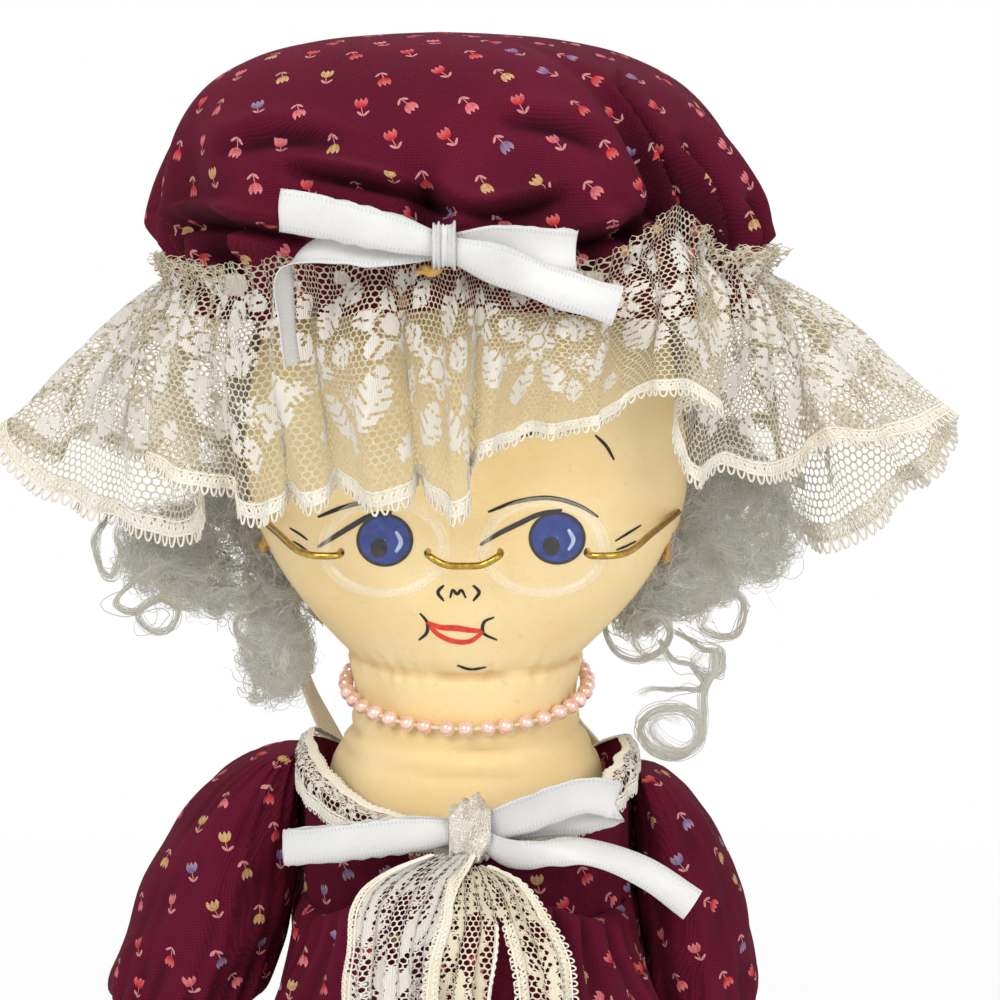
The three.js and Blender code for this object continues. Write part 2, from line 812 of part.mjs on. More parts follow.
const holeLevel = LENS_LEVEL - LENS_HOLE_DOWN;
const wireAhead = -lensForward - LENS_RIM / 2 - WIRE - GAP;
const hookBack = -lensForward + LENS_PANE / 2 + HOOK_TAIL;
const innerHole = LENS_SPREAD - LENS_HOLE_OUT;
const outerHole = LENS_SPREAD + LENS_HOLE_OUT;
function wire(points) {
  return new THREE.CatmullRomCurve3(points, false, "centripetal");
}
const bridge = wire([
  at(-innerHole, hookBack, holeLevel),
  at(-innerHole, wireAhead + HOOK_BEND, holeLevel),
  at(-innerHole + WIRE, wireAhead, holeLevel - WIRE / 2),
  at(-innerHole / 2, wireAhead, holeLevel - BRIDGE_DIP),
  at(innerHole / 2, wireAhead, holeLevel - BRIDGE_DIP),
  at(innerHole - WIRE, wireAhead, holeLevel - WIRE / 2),
  at(innerHole, wireAhead + HOOK_BEND, holeLevel),
  at(innerHole, hookBack, holeLevel),
]);
piece("bridge_wire", strandAlong(bridge, WIRE, WIRE_STEPS, WIRE_SIDES), BRASS, 0.3, 1);

// The temples end just clear of the sides of the head
function headReach(level, ahead) {
  const [halfWidth, halfDepth] = headSize(level);
  return halfWidth * Math.sqrt(1 - (ahead / halfDepth) ** 2);
}
const templeOut = headReach(holeLevel, TEMPLE_END) + WIRE + TEMPLE_STAND_OFF;
for (const [name, side] of Object.entries(SIDES)) {
  const temple = wire([
    at(side * outerHole, hookBack, holeLevel),
    at(side * outerHole, wireAhead + HOOK_BEND, holeLevel),
    at(side * (outerHole + WIRE), wireAhead, holeLevel),
    at(side * (TEMPLE_ELBOW - ELBOW_BEND), wireAhead, holeLevel),
    at(side * TEMPLE_ELBOW, wireAhead + ELBOW_BEND, holeLevel),
    at((side * (TEMPLE_ELBOW + templeOut)) / 2, (wireAhead - TEMPLE_END) / 2, holeLevel),
    at(side * templeOut, -TEMPLE_END, holeLevel),
  ]);
  piece(`${name}_temple`, strandAlong(temple, WIRE, WIRE_STEPS, WIRE_SIDES), BRASS, 0.3, 1);
}

// Pearls swelling along one strand round the neck
const pearlRings = [];
const pearlCount = Math.round((2 * Math.PI * strandRadius) / PEARL_PITCH);
const pearlSizes = [PEARL_THREAD, PEARL, PEARL, PEARL_THREAD];
const slope = THREE.MathUtils.degToRad(STRAND_SLOPE);
for (let i = 0; i < pearlCount; i++) {
  for (const [k, step] of PEARL_STEPS.entries()) {
    const turn = (2 * Math.PI * (i + step)) / pearlCount;
    const ring = [];
    for (let j = 0; j < PEARL_SIDES; j++) {
      const round = (2 * Math.PI * j) / PEARL_SIDES;
      const out = strandRadius + pearlSizes[k] * Math.cos(round);
      const bead = at(out * Math.sin(turn), -out * Math.cos(turn), pearlSizes[k] * Math.sin(round));
      ring.push(bead.applyAxisAngle(at(1, 0, 0), slope).add(at(0, 0, STRAND_LEVEL)));
    }
    pearlRings.push(ring);
  }
}
piece("pearl_strand", hoop(pearlRings), PEACH, 0.35);

// Bodice with its neckline, and the lace band round that
function necklineLevel(turn) {
  const ahead = Math.cos(turn);
  const end = ahead > 0 ? NECKLINE_FRONT : NECKLINE_BACK;
  return NECKLINE_SIDE + (end - NECKLINE_SIDE) * ahead * ahead;
}
function bodiceRing(grow, share, rise) {
  const half = bodiceHalf + grow;
  const ring = oval(BODICE_SIDES, half, bodiceFront + grow, bodiceBack + grow, 0, 0, 0, BODICE_SQUARE);
  ring.forEach((point, j) => {
    const top = necklineLevel((2 * Math.PI * j) / BODICE_SIDES) + rise;
    point.z = top + (waist - top) * share;
  });
  return ring;
}
const bodiceRings = [];
for (let i = 0; i <= BODICE_ROWS; i++) {
  bodiceRings.push(bodiceRing(-GAP - NET, i / BODICE_ROWS, 0));
}
piece("bodice", tubeOf(bodiceRings, CALICO), BURGUNDY);
const necklineRings = [];
for (let i = 0; i <= BAND_ROWS; i++) {
  const ring = bodiceRing(0, 0, BAND_STAND);
  ring.forEach((point) => {
    point.z -= (BAND_WIDTH * i) / BAND_ROWS;
  });
  necklineRings.push(ring);
}
piece("neckline_lace", tubeOf(necklineRings, NET), CREAM, 0.95);

// Skirt of cloth, open at the hem and slit at the back, with the elastic that draws it in
const skirtSides = SKIRT_FOLDS * SKIRT_FOLD_STEPS;
const skirtTop = waist - WAIST_GAP;
const mouthLevel = skirtTop - SKIRT_LENGTH;
const grown = ([side, front, back, drop, lift]) => [
  bodiceHalf + side,
  bodiceFront + front,
  bodiceBack + back,
  skirtTop - drop,
  lift,
];
const hemRadius = MOUTH_RADIUS + HEM_FLARE;
const skirtRows = [
  ...YOKE_ROWS.map(grown),
  ...BAG_ROWS.map(([side, front, back, share]) => grown([side, front, back, share * SKIRT_LENGTH, 0])),
  [MOUTH_RADIUS, MOUTH_RADIUS, MOUTH_RADIUS, mouthLevel, 0],
  [hemRadius, hemRadius, hemRadius, mouthLevel - HEM_DROP, 0],
];
const skirtRings = skirtRows.map(([half, front, back, level, lift], i) => {
  const square = Math.min(1, BODICE_SQUARE + i * SKIRT_EASE);
  const ring = oval(skirtSides, half, front, back, level, 0, 0, square);
  ring.forEach((point, j) => {
    const turn = (2 * Math.PI * j) / skirtSides;
    const ahead = Math.max(0, Math.cos(turn));
    const out = Math.hypot(point.x, point.y);
    const fold = 1 + (SKIRT_FOLD_DEPTH[i] * Math.cos(SKIRT_FOLDS * turn)) / out;
    point.x *= fold;
    point.y *= fold;
    point.z += lift * ahead ** SKIRT_PUFF_POWER * (1 - SKIRT_PUFF_TURN * Math.sin(turn));
  });
  return ring;
});
const slitShape = new THREE.Shape();
slitShape.absellipse(0, waist - SLIT_DROP, SLIT_WIDTH / 2, SLIT_HEIGHT / 2, 0, 2 * Math.PI);
const slitTool = plain(
  new THREE.ExtrudeGeometry(slitShape, {
    depth: 2 * bodiceBack,
    bevelEnabled: false,
    curveSegments: SLIT_STEPS,
  }),
);
slitTool.rotateX(Math.PI / 2).translate(0, 3 * bodiceBack, 0);
piece("skirt_bag", cut(tubeOf(skirtRings, CALICO), [slitTool]), BURGUNDY);

const drawnOut = MOUTH_RADIUS - CALICO - GAP - SKIRT_FOLD_DEPTH.at(-2);
function elasticRing(half, level) {
  return oval(skirtSides, half, half, half, level);
}
piece(
  "hem_elastic",
  hoop([
    elasticRing(drawnOut, mouthLevel + ELASTIC_HEIGHT / 2),
    elasticRing(drawnOut, mouthLevel - ELASTIC_HEIGHT / 2),
    elasticRing(drawnOut - ELASTIC, mouthLevel - ELASTIC_HEIGHT / 2),
    elasticRing(drawnOut - ELASTIC, mouthLevel + ELASTIC_HEIGHT / 2),
  ]),
  WHITE,
);

// Arms in their sleeves, which the cuffs draw in round them
function limbRings(rows, sides, side) {
  return rows.map(([drop, out, half, depth]) => {
    const middle = side * (bodiceHalf + out);
    return oval(sides, half, depth, depth, NECKLINE_SIDE - drop, middle, -ARM_FORWARD * drop);
  });
}
const cuffRoom = GAP + ELASTIC + 2 * GAP + CALICO;
for (const [name, side] of Object.entries(SIDES)) {
  const arm = ARM_ROWS[name];
  const [drop, out, half, depth] = arm[CUFF_ROW];
  const spread = (arm[CUFF_ROW + 1][1] - out) / (arm[CUFF_ROW + 1][0] - drop);
  const sleeve = [
    ...SLEEVE_ROWS[name].map(([down, clear, wide, deep]) => [down, clear + wide, wide, deep]),
    [drop, out, half + cuffRoom, depth + cuffRoom],
    [
      drop + CUFF_FRILL,
      out + spread * CUFF_FRILL,
      half + cuffRoom + CUFF_FLARE,
      depth + cuffRoom + CUFF_FLARE,
    ],
  ];
  piece(`${name}_sleeve`, cupOf(limbRings(sleeve, SLEEVE_SIDES, side), CALICO), BURGUNDY);
  piece(`${name}_arm`, loft(limbRings(arm, ARM_SIDES, side)), MUSLIN);
  const cuffRow = (room, rise) => [drop - rise, out - spread * rise, half + room, depth + room];
  const cuff = [
    cuffRow(GAP + ELASTIC, CUFF_ELASTIC / 2),
    cuffRow(GAP + ELASTIC, -CUFF_ELASTIC / 2),
    cuffRow(GAP, -CUFF_ELASTIC / 2),
    cuffRow(GAP, CUFF_ELASTIC / 2),
  ];
  piece(`${name}_sleeve_elastic`, hoop(limbRings(cuff, SLEEVE_SIDES, side)), WHITE);
}

// Bows: one ribbon each, held by a knot round its crossing
const capBow = [CAP_BOW_ACROSS, -capFront - CAP_BOW_STAND, capGather + CAP_BOW_RISE];
const chestBow = [CHEST_BOW_ACROSS, -bodiceFront - CHEST_BOW_STAND, NECKLINE_FRONT + CHEST_BOW_RISE];
function knot(centre) {
  const ring = (wall, across) => {
    const deep = KNOT_DEPTH / 2 - wall;
    const high = KNOT_HEIGHT / 2 - wall;
    const section = oval(KNOT_SIDES, deep, high, high, 0, 0, 0, KNOT_SQUARE);
    return section.map(({ x, y }) => at(centre[0] + across, centre[1] + x, centre[2] + y));
  };
  return hoop([
    ring(0, -KNOT_WIDTH / 2),
    ring(0, KNOT_WIDTH / 2),
    ring(KNOT_WALL, KNOT_WIDTH / 2),
    ring(KNOT_WALL, -KNOT_WIDTH / 2),
  ]);
}
piece("cap_bow_ribbon", ribbon(CAP_BOW_LINE, capBow, RIBBON_STEPS), WHITE, 0.4);
piece("cap_bow_knot", knot(capBow), WHITE, 0.4);
piece("chest_bow_ribbon", ribbon(CHEST_BOW_LINE, chestBow, RIBBON_STEPS), WHITE, 0.4);
piece("chest_bow_knot", knot(chestBow), CREAM, 0.95);

// Lace panels that hang from the chest bow over the front of the skirt
function panel(top, rows) {
  const tucked = [NECKLINE_FRONT - JABOT_TUCK - waist, JABOT_TOP, ...top];
  const grid = [tucked, ...rows].map(([rise, ahead, inner, outer], i) => {
    const depth = (JABOT_WAVE * i) / rows.length;
    const row = [];
    for (let j = 0; j <= JABOT_COLUMNS; j++) {
      const share = j / JABOT_COLUMNS;
      const wave = (depth * (1 - Math.cos(2 * Math.PI * share))) / 2;
      row.push(at(inner + (outer - inner) * share, -bodiceFront - ahead - wave, waist + rise));
    }
    return row;
  });
  return sheet(grid, at(0, NET, 0));
}
piece("jabot_left", panel(JABOT_LEFT_TOP, JABOT_LEFT), CREAM, 0.95);
piece("jabot_right", panel(JABOT_RIGHT_TOP, JABOT_RIGHT), CREAM, 0.95);

// Hanging tape, sewn flat behind both shoulders and turned edgewise over the hook
const footTurn = THREE.MathUtils.degToRad(TAPE_TURN);
const footSide = Math.abs(Math.sin(footTurn));
const footBack = Math.abs(Math.cos(footTurn));
const bend = 1 - BODICE_SQUARE;
const footOut = at(footSide ** bend / bodiceHalf, footBack ** bend / bodiceBack, 0);
const foot = at(
  bodiceHalf * footSide ** BODICE_SQUARE,
  bodiceBack * footBack ** BODICE_SQUARE,
  NECKLINE_BACK - TAPE_FOOT,
);
foot.add(footOut.setLength(GAP + TAPE_EASE + TAPE / 2));
function tapeLeg(side, rows) {
  const line = new THREE.CatmullRomCurve3(
    [
      foot,
      foot.clone().add(at(0, 0, TAPE_SEAM)),
      ...rows.map(([out, back, share]) =>
        at(bodiceHalf + out, bodiceBack + back, NECKLINE_BACK + share * TAPE_RISE),
      ),
      at(TAPE_RUN, tapeBack, tapeTop),
    ],
    false,
    "centripetal",
  );
  const points = [];
  const directions = [];
  for (let i = 0; i <= TAPE_STEPS; i++) {
    const share = i / TAPE_STEPS;
    const turn = THREE.MathUtils.degToRad(TAPE_TWIST + (90 - TAPE_TWIST) * share);
    points.push(line.getPoint(share).multiply(at(side, 1, 1)));
    directions.push(at(-side * Math.cos(turn), Math.sin(turn), 0));
  }
  points.push(at((side * TAPE_FLAT) / 2, tapeBack, tapeTop));
  directions.push(at(0, 1, 0));
  return [points, directions];
}
const [leftPoints, leftDirections] = tapeLeg(SIDES.left, TAPE_LEGS.left);
const [rightPoints, rightDirections] = tapeLeg(SIDES.right, TAPE_LEGS.right);
piece(
  "hanging_tape",
  band(
    [...leftPoints, ...rightPoints.reverse()],
    [...leftDirections, ...rightDirections.reverse()],
    TAPE_WIDTH,
    TAPE,
  ),
  BEIGE,
);

// Curls of hair, each one strand wound about its own line
function besideHead(side, [out, y, z]) {
  return at(side * (HEAD_WIDTH / 2 + out), y, z);
}
function curlLine(side, [start, end, radius, turns]) {
  const from = besideHead(side, start);
  const along = besideHead(side, end).sub(from);
  const across = along.clone().normalize().cross(at(0, 1, 0)).normalize();
  const ahead = across.clone().cross(along).normalize();
  const points = [];
  const steps = Math.round(CURL_STEPS * turns);
  for (let i = 0; i <= steps; i++) {
    const turn = (2 * Math.PI * turns * i) / steps;
    points.push(
      from
        .clone()
        .addScaledVector(along, i / steps)
        .addScaledVector(across, radius * Math.cos(turn))
        .addScaledVector(ahead, radius * Math.sin(turn)),
    );
  }
  return points;
}
function leastGap(points) {
  let least = Infinity;
  points.forEach((a, i) => {
    points.slice(i + CURL_STEPS / 2).forEach((b) => {
      least = Math.min(least, a.distanceTo(b) - 2 * STRAND);
    });
  });
  return least;
}
const curlTools = [];
for (const [name, shape] of Object.entries(CURLS)) {
  const points = curlLine(SIDES[name.split("_")[0]], shape);
  const curve = new THREE.CatmullRomCurve3(points);
  console.log(`${name} comes within ${leastGap(points).toFixed(1)} mm of itself`);
  piece(name, strandAlong(curve, STRAND, points.length - 1, CURL_SIDES), SILVER, 0.6);
  curlTools.push(strandAlong(curve, STRAND + GAP, points.length - 1, CURL_SIDES));
}

// Tufts of hair against the head, clear of the spectacles
const grownHead = loft(headRings(GAP));
for (const [name, tufts] of Object.entries(TUFTS)) {
  const side = SIDES[name];
  const mass = tufts
    .map(([out, y, z, width, depth, height]) => {
      const tuft = plain(new THREE.SphereGeometry(1, TUFT_SIDES, TUFT_ROWS)).scale(width, depth, height);
      return manifoldOf(tuft.translate(...besideHead(side, [out, y, z]).toArray()));
    })
    .reduce((all, tuft) => all.add(tuft));
  const room = plain(new THREE.BoxGeometry(3 * TEMPLE_ROOM, lensForward, 2 * TEMPLE_ROOM));
  room.translate(side * templeOut, WIRE + GAP - TEMPLE_END - lensForward / 2, holeLevel - TEMPLE_ROOM / 2);
  piece(`${name}_hair`, cut(geometryOf(mass), [grownHead, room, ...curlTools]), SILVER, 0.6);
}
const backTop = HEAD_HEIGHT - HAIR_BACK_TOP;
const backWidth = HEAD_WIDTH - 2 * HAIR_BACK_SIDE;
const backBox = plain(new THREE.BoxGeometry(backWidth, HEAD_DEPTH, backTop - HAIR_BACK_BOTTOM));
backBox.translate(0, HAIR_BACK_FRONT + HEAD_DEPTH / 2, (backTop + HAIR_BACK_BOTTOM) / 2);
const backHair = manifoldOf(loft(headRings(HAIR_BACK))).intersect(manifoldOf(backBox));
piece("back_hair", cut(geometryOf(backHair), [grownHead]), SILVER, 0.6);

// The hook bears on the inner face of the tape's level top
doll.position.set(0, -tapeBack, -(tapeTop - TAPE / 2));

export default doll;
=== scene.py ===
import math

import bpy
import numpy as np
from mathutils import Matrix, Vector
from mathutils.bvhtree import BVHTree
from mathutils.kdtree import KDTree


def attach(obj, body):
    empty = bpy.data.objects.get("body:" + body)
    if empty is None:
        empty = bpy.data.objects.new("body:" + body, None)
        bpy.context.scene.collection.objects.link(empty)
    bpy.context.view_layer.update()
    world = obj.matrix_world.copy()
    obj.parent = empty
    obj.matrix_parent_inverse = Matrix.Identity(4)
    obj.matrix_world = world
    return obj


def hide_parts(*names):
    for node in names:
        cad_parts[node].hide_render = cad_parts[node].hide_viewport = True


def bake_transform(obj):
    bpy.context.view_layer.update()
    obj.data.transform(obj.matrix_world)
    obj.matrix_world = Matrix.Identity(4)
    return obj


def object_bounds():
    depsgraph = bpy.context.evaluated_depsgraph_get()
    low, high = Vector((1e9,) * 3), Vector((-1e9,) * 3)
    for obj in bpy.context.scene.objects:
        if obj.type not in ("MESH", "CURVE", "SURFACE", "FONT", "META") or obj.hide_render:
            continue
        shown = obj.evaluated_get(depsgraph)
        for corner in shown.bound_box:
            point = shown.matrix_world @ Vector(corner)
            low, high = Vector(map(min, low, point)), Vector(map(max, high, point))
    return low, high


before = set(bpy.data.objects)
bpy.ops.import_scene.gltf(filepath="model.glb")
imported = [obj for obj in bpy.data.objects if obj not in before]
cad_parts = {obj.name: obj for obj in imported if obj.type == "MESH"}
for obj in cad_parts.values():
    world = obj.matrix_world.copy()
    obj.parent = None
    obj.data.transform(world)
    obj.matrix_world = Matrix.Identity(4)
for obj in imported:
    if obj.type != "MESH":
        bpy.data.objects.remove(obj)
CAD_BOX = [list(corner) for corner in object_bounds()]
TURN = 2 * math.pi

# Millimetres are measured from the crease between head and neck, as in the part's source.
SHIFT = np.array((0.0, -57.0, -32.5))
HEAD_HALF, HEAD_DEEP = 55.0, 43.0
CAP_HALF, CAP_FRONT, CAP_BACK = 78.5, 59.0, 43.1
CAP_GATHER, CAP_HEIGHT, CAP_DROOP, CAP_LEAN = 98.0, 54.0, 6.0, 6.0
CHEST_HALF, BODICE_FRONT, BODICE_BACK, CHEST_SQUARE = 42.7, 37.0, 36.0, 0.72
NECKLINE_FRONT, NECKLINE_SIDE, NECKLINE_BACK, WAIST = -39.0, -28.0, -42.0, -62.0
# How far below the shoulder a sleeve is drawn in, and how far the arms lean forward over that
CUFF, ARM_LEAN = 68, 0.06
FRILL, HEADING, NECK_LACE, RIBBON, TAPE_HALF = 62.0, 6.5, 14.5, 9.4, 4.0
# The photograph's eye, what it looks at, the middle of the picture and the slope of one pixel
EYE = np.array((8.4, -719.4, 163.1))
TARGET = np.array((8.4, -30.0, 41.5))
MIDDLE, PIXEL = 500, 0.24 / 700
SIDES = (("left", -1), ("right", 1))


def place(points):
    return (np.asarray(points, float) + SHIFT) / 1000


def ease(x):
    x = np.clip(x, 0, 1)
    return x * x * (3 - 2 * x)


def bell(x, wide):
    return np.exp(-((x / wide) ** 2))


def unit(v):
    return v / np.maximum(np.linalg.norm(v, axis=-1, keepdims=True), 1e-12)


def ring(count):
    """Turns that part a circle evenly."""
    return TURN * np.arange(count) / count


def summed(steps):
    return np.concatenate([[0], np.cumsum(steps)])


def travel(points):
    """Way along points, or down the rows of a grid on average."""
    step = np.linalg.norm(np.diff(points, axis=0), axis=-1)
    return summed(step if step.ndim == 1 else step.mean(1))


def smooth(xs, ys, x):
    """Smooth curve through the points xs, ys, read at x."""
    xs, ys, x = np.asarray(xs, float), np.asarray(ys, float), np.asarray(x, float)
    slope = np.gradient(ys, xs, axis=0)
    i = np.clip(np.searchsorted(xs, x) - 1, 0, len(xs) - 2)
    h = (xs[i + 1] - xs[i])[:, None]
    t = np.clip((x - xs[i])[:, None] / h, 0, 1)
    a, b = ys[i], ys[i + 1]
    p, q = slope[i] * h, slope[i + 1] * h
    return (a * (2 * t**3 - 3 * t**2 + 1) + b * (3 * t**2 - 2 * t**3)
            + p * (t**3 - 2 * t**2 + t) + q * (t**3 - t**2))


def line(points, count, closed=False):
    """Smooth line through points, with count points on it."""
    p = np.asarray(points, float)
    if closed:
        p = np.concatenate([p[-2:], p, p[:3]])
    step = np.linalg.norm(np.diff(p[:, :3], axis=0), axis=1)
    s = summed(np.maximum(step, 1e-6) ** 0.7)
    if closed:
        return smooth(s, p, np.linspace(s[2], s[-3], count, endpoint=False))
    return smooth(s, p, np.linspace(0, s[-1], count))


def profile(table, rows, measured):
    """The columns of a table of levels, read at even steps along two of them."""
    table = np.array(table, float)
    s = travel(table[:, measured])
    return smooth(s, table, np.linspace(0, s[-1], rows)).T[:, :, None]


def grid_faces(rows, columns, closed=False):
    i, j = np.meshgrid(np.arange(rows - 1), np.arange(columns - (not closed)), indexing="ij")
    a = i * columns + j
    b = i * columns + (j + 1) % columns
    return np.stack([a, b, b + columns, a + columns], -1).reshape(-1, 4)


def grid_corners(u, v, closed=False, period=0.0):
    """Corner coordinates of a grid's faces, going on past the join of a closed grid."""
    both = np.stack(np.broadcast_arrays(u, v), -1)
    if closed:
        both = np.concatenate([both, both[:, :1] + (period, 0.0)], 1)
    a, b = both[:-1, :-1], both[:-1, 1:]
    c, d = both[1:, 1:], both[1:, :-1]
    return np.stack([a, b, c, d], 2).reshape(-1, 4, 2)


def join(parts):
    points, faces, start = [], [], 0
    for p, f in parts:
        p = np.asarray(p, float).reshape(-1, 3)
        points.append(p)
        faces.extend((np.asarray(f) + start).tolist())
        start += len(p)
    return np.concatenate(points), faces


def tubes(lines, radius, sides=5, closed=False):
    """Round strands along many lines at once: points and faces."""
    p = np.asarray(lines, float)
    if p.ndim == 2:
        p = p[None]
    many, steps = p.shape[:2]
    if closed:
        along = unit(np.roll(p, -1, 1) - np.roll(p, 1, 1))
    else:
        along = unit(np.gradient(p, axis=1))
    normal = np.where(np.abs(along[:, 0, 2:]) < 0.9, (0.0, 0.0, 1.0), (1.0, 0.0, 0.0))
    side = np.zeros_like(p)
    for k in range(steps):
        normal = unit(normal - along[:, k] * (normal * along[:, k]).sum(-1, keepdims=True))
        side[:, k] = normal
    other = np.cross(along, side)
    turn = ring(sides)[:, None]
    r = np.broadcast_to(np.asarray(radius, float), (many, steps))[..., None, None]
    round_it = (side[:, :, None] * np.cos(turn) + other[:, :, None] * np.sin(turn)) * r
    points = (p[:, :, None] + round_it).reshape(-1, 3)
    one = grid_faces(steps + closed, sides, True) % (steps * sides)
    faces = (one[None] + (np.arange(many) * steps * sides)[:, None, None]).reshape(-1, 4)
    return points, faces


def strip(grid, normal, thick, arc, across):
    """Both faces of a band: points, faces and corner coordinates."""
    off = normal[:, None] * thick
    loop = np.concatenate([grid + off, (grid - off)[:, ::-1]], 1)
    cloth = grid_corners(arc[:, None], np.concatenate([across, across[::-1]])[None], True)
    return loop.reshape(-1, 3), grid_faces(*loop.shape[:2], True), cloth


def ball(rows, columns, hole):
    """Places on a ball of radius 1 with a small hole at both ends, and their two angles."""
    down, turn = np.meshgrid(np.linspace(hole, math.pi - hole, rows), ring(columns), indexing="ij")
    return np.stack([np.sin(down) * np.cos(turn), np.cos(down), np.sin(down) * np.sin(turn)], -1), down, turn


def oval(turn, half, front, back, power=1.0):
    """Places round an oval, from the front round by the right side."""
    across, ahead = np.sin(turn), np.cos(turn)
    deep = np.where(ahead > 0, front, back)
    x = half * np.sign(across) * np.abs(across) ** power
    y = -deep * np.sign(ahead) * np.abs(ahead) ** power
    return x, y


def waves(turn, low, high, seed):
    """Uneven folds round a ring, about one high."""
    rng = np.random.default_rng(seed)
    total = np.zeros_like(turn)
    for k in range(low, high):
        total = total + rng.normal() * np.cos(k * turn + rng.uniform(0, TURN))
    return total / math.sqrt((high - low) / 2)


def add(name, data):
    made = bpy.data.objects.new(name, data)
    bpy.context.scene.collection.objects.link(made)
    return made


def piece(name, points, faces, material, body, slot, replaces=(), corners=None):
    """A mesh of the doll that moves with a body; corners holds named corner coordinates."""
    mesh = bpy.data.meshes.new(name)
    faces = faces.tolist() if isinstance(faces, np.ndarray) else faces
    mesh.from_pydata(place(points).tolist(), [], faces)
    for layer, values in (corners or {}).items():
        mesh.uv_layers.new(name=layer).data.foreach_set("uv", np.ravel(values).astype(np.float32))
    mesh.polygons.foreach_set("use_smooth", np.ones(len(faces), bool))
    mesh.materials.append(material)
    mesh.update()
    made = add(name, mesh)
    if body:
        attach(made, body)
    if replaces:
        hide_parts(*replaces)
    return made


def bend(made, start, end):
    """Bakes a piece's place into its mesh."""
    tuple(place(start))
    tuple(place(end))
    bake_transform(made)


def shade(made, name, values):
    made.data.attributes.new(name, "FLOAT", "POINT").data.foreach_set(
        "value", np.ravel(values).astype(np.float32))


# Materials
def colour(r, g, b):
    """Linear colour of a screen colour."""
    c = np.array((r, g, b)) / 255
    return (*np.where(c <= 0.04045, c / 12.92, ((c + 0.055) / 1.055) ** 2.4), 1.0)


class Nodes:
    """A node tree, built by small steps."""

    def __init__(self, tree):
        self.tree = tree
        tree.nodes.clear()

    def node(self, kind, **settings):
        made = self.tree.nodes.new(kind)
        for key, value in settings.items():
            setattr(made, key, value)
        return made

    def put(self, socket, value):
        if isinstance(value, bpy.types.NodeSocket):
            self.tree.links.new(value, socket)
        else:
            socket.default_value = value

    def fill(self, made, **values):
        for key, value in values.items():
            self.put(made.inputs[key.replace("_", " ")], value)

    def math(self, operation, *values, clamp=False):
        made = self.node("ShaderNodeMath", operation=operation, use_clamp=clamp)
        for socket, value in zip(made.inputs, values):
            self.put(socket, value)
        return made.outputs[0]

    def plus(self, a, b):
        return self.math("ADD", a, b)

    def minus(self, a, b):
        return self.math("SUBTRACT", a, b)

    def times(self, a, b):
        return self.math("MULTIPLY", a, b)

    def under(self, a, b):
        return self.math("LESS_THAN", a, b)

    def absolute(self, a):
        return self.math("ABSOLUTE", a)

    def sine(self, value, pitch):
        return self.math("SINE", self.times(value, TURN / pitch))

    def spread(self, value, low, high, to_low=0.0, to_high=1.0):
        made = self.node("ShaderNodeMapRange")
        for socket, number in zip(made.inputs, (value, low, high, to_low, to_high)):
            self.put(socket, number)
        return made.outputs[0]

    def seen_rays(self):
        """1 for the rays that show things to the camera."""
        rays = self.node("ShaderNodeLightPath").outputs
        both = self.math("ADD", rays["Is Camera Ray"], rays["Is Glossy Ray"], clamp=True)
        return self.math("ADD", both, rays["Is Transmission Ray"], clamp=True)


class Paint(Nodes):
    """One material with its shader."""

    def __init__(self, name, roughness, **fixed):
        self.made = bpy.data.materials.new(name)
        self.made.use_nodes = True
        super().__init__(self.made.node_tree)
        self.out = self.node("ShaderNodeOutputMaterial")
        self.shader = self.node("ShaderNodeBsdfPrincipled")
        self.put(self.out.inputs[0], self.shader.outputs[0])
        self.set(Roughness=roughness, **fixed)

    def set(self, **values):
        self.fill(self.shader, **values)

    def mix(self, share, a, b):
        made = self.node("ShaderNodeMix", data_type="RGBA")
        for k, value in ((0, share), (6, a), (7, b)):
            self.put(made.inputs[k], value)
        return made.outputs[2]

    def mottle(self, scale, detail, low, high, light, dark):
        """Colour that wanders between two shades."""
        return self.mix(self.spread(self.noise(scale, detail), low, high), colour(*light), colour(*dark))

    def tint(self, base, value, low, high, share, shade):
        """Base with a share of another shade where a value is high."""
        return self.mix(self.spread(value, low, high, 0, share), base, colour(*shade))

    def mix_shaders(self, share, first, second):
        made = self.node("ShaderNodeMixShader")
        for socket, value in zip(made.inputs, (share, first.outputs[0], second.outputs[0])):
            self.put(socket, value)
        self.put(self.out.inputs[0], made.outputs[0])

    def let_through(self, share, base):
        """Lets a share of the light through."""
        back_lit = self.node("ShaderNodeBsdfTranslucent")
        self.put(back_lit.inputs[0], base)
        self.mix_shaders(share, self.shader, back_lit)

    def split(self, vector):
        made = self.node("ShaderNodeSeparateXYZ")
        self.put(made.inputs[0], vector)
        return made.outputs

    def uv(self, layer):
        x, y, _ = self.split(self.node("ShaderNodeUVMap", uv_map=layer).outputs[0])
        return x, y

    def here(self):
        return self.node("ShaderNodeTexCoord").outputs["Object"]

    def noise(self, scale, detail, rough=0.5):
        made = self.node("ShaderNodeTexNoise")
        self.fill(made, Vector=self.here(), Scale=scale, Detail=detail, Roughness=rough)
        return made.outputs["Fac"]

    def attribute(self, name):
        return self.node("ShaderNodeAttribute", attribute_name=name).outputs["Fac"]

    def bump(self, height, depth, strength):
        made = self.node("ShaderNodeBump")
        self.fill(made, Strength=strength, Distance=depth, Height=height)
        self.set(Normal=made.outputs[0])


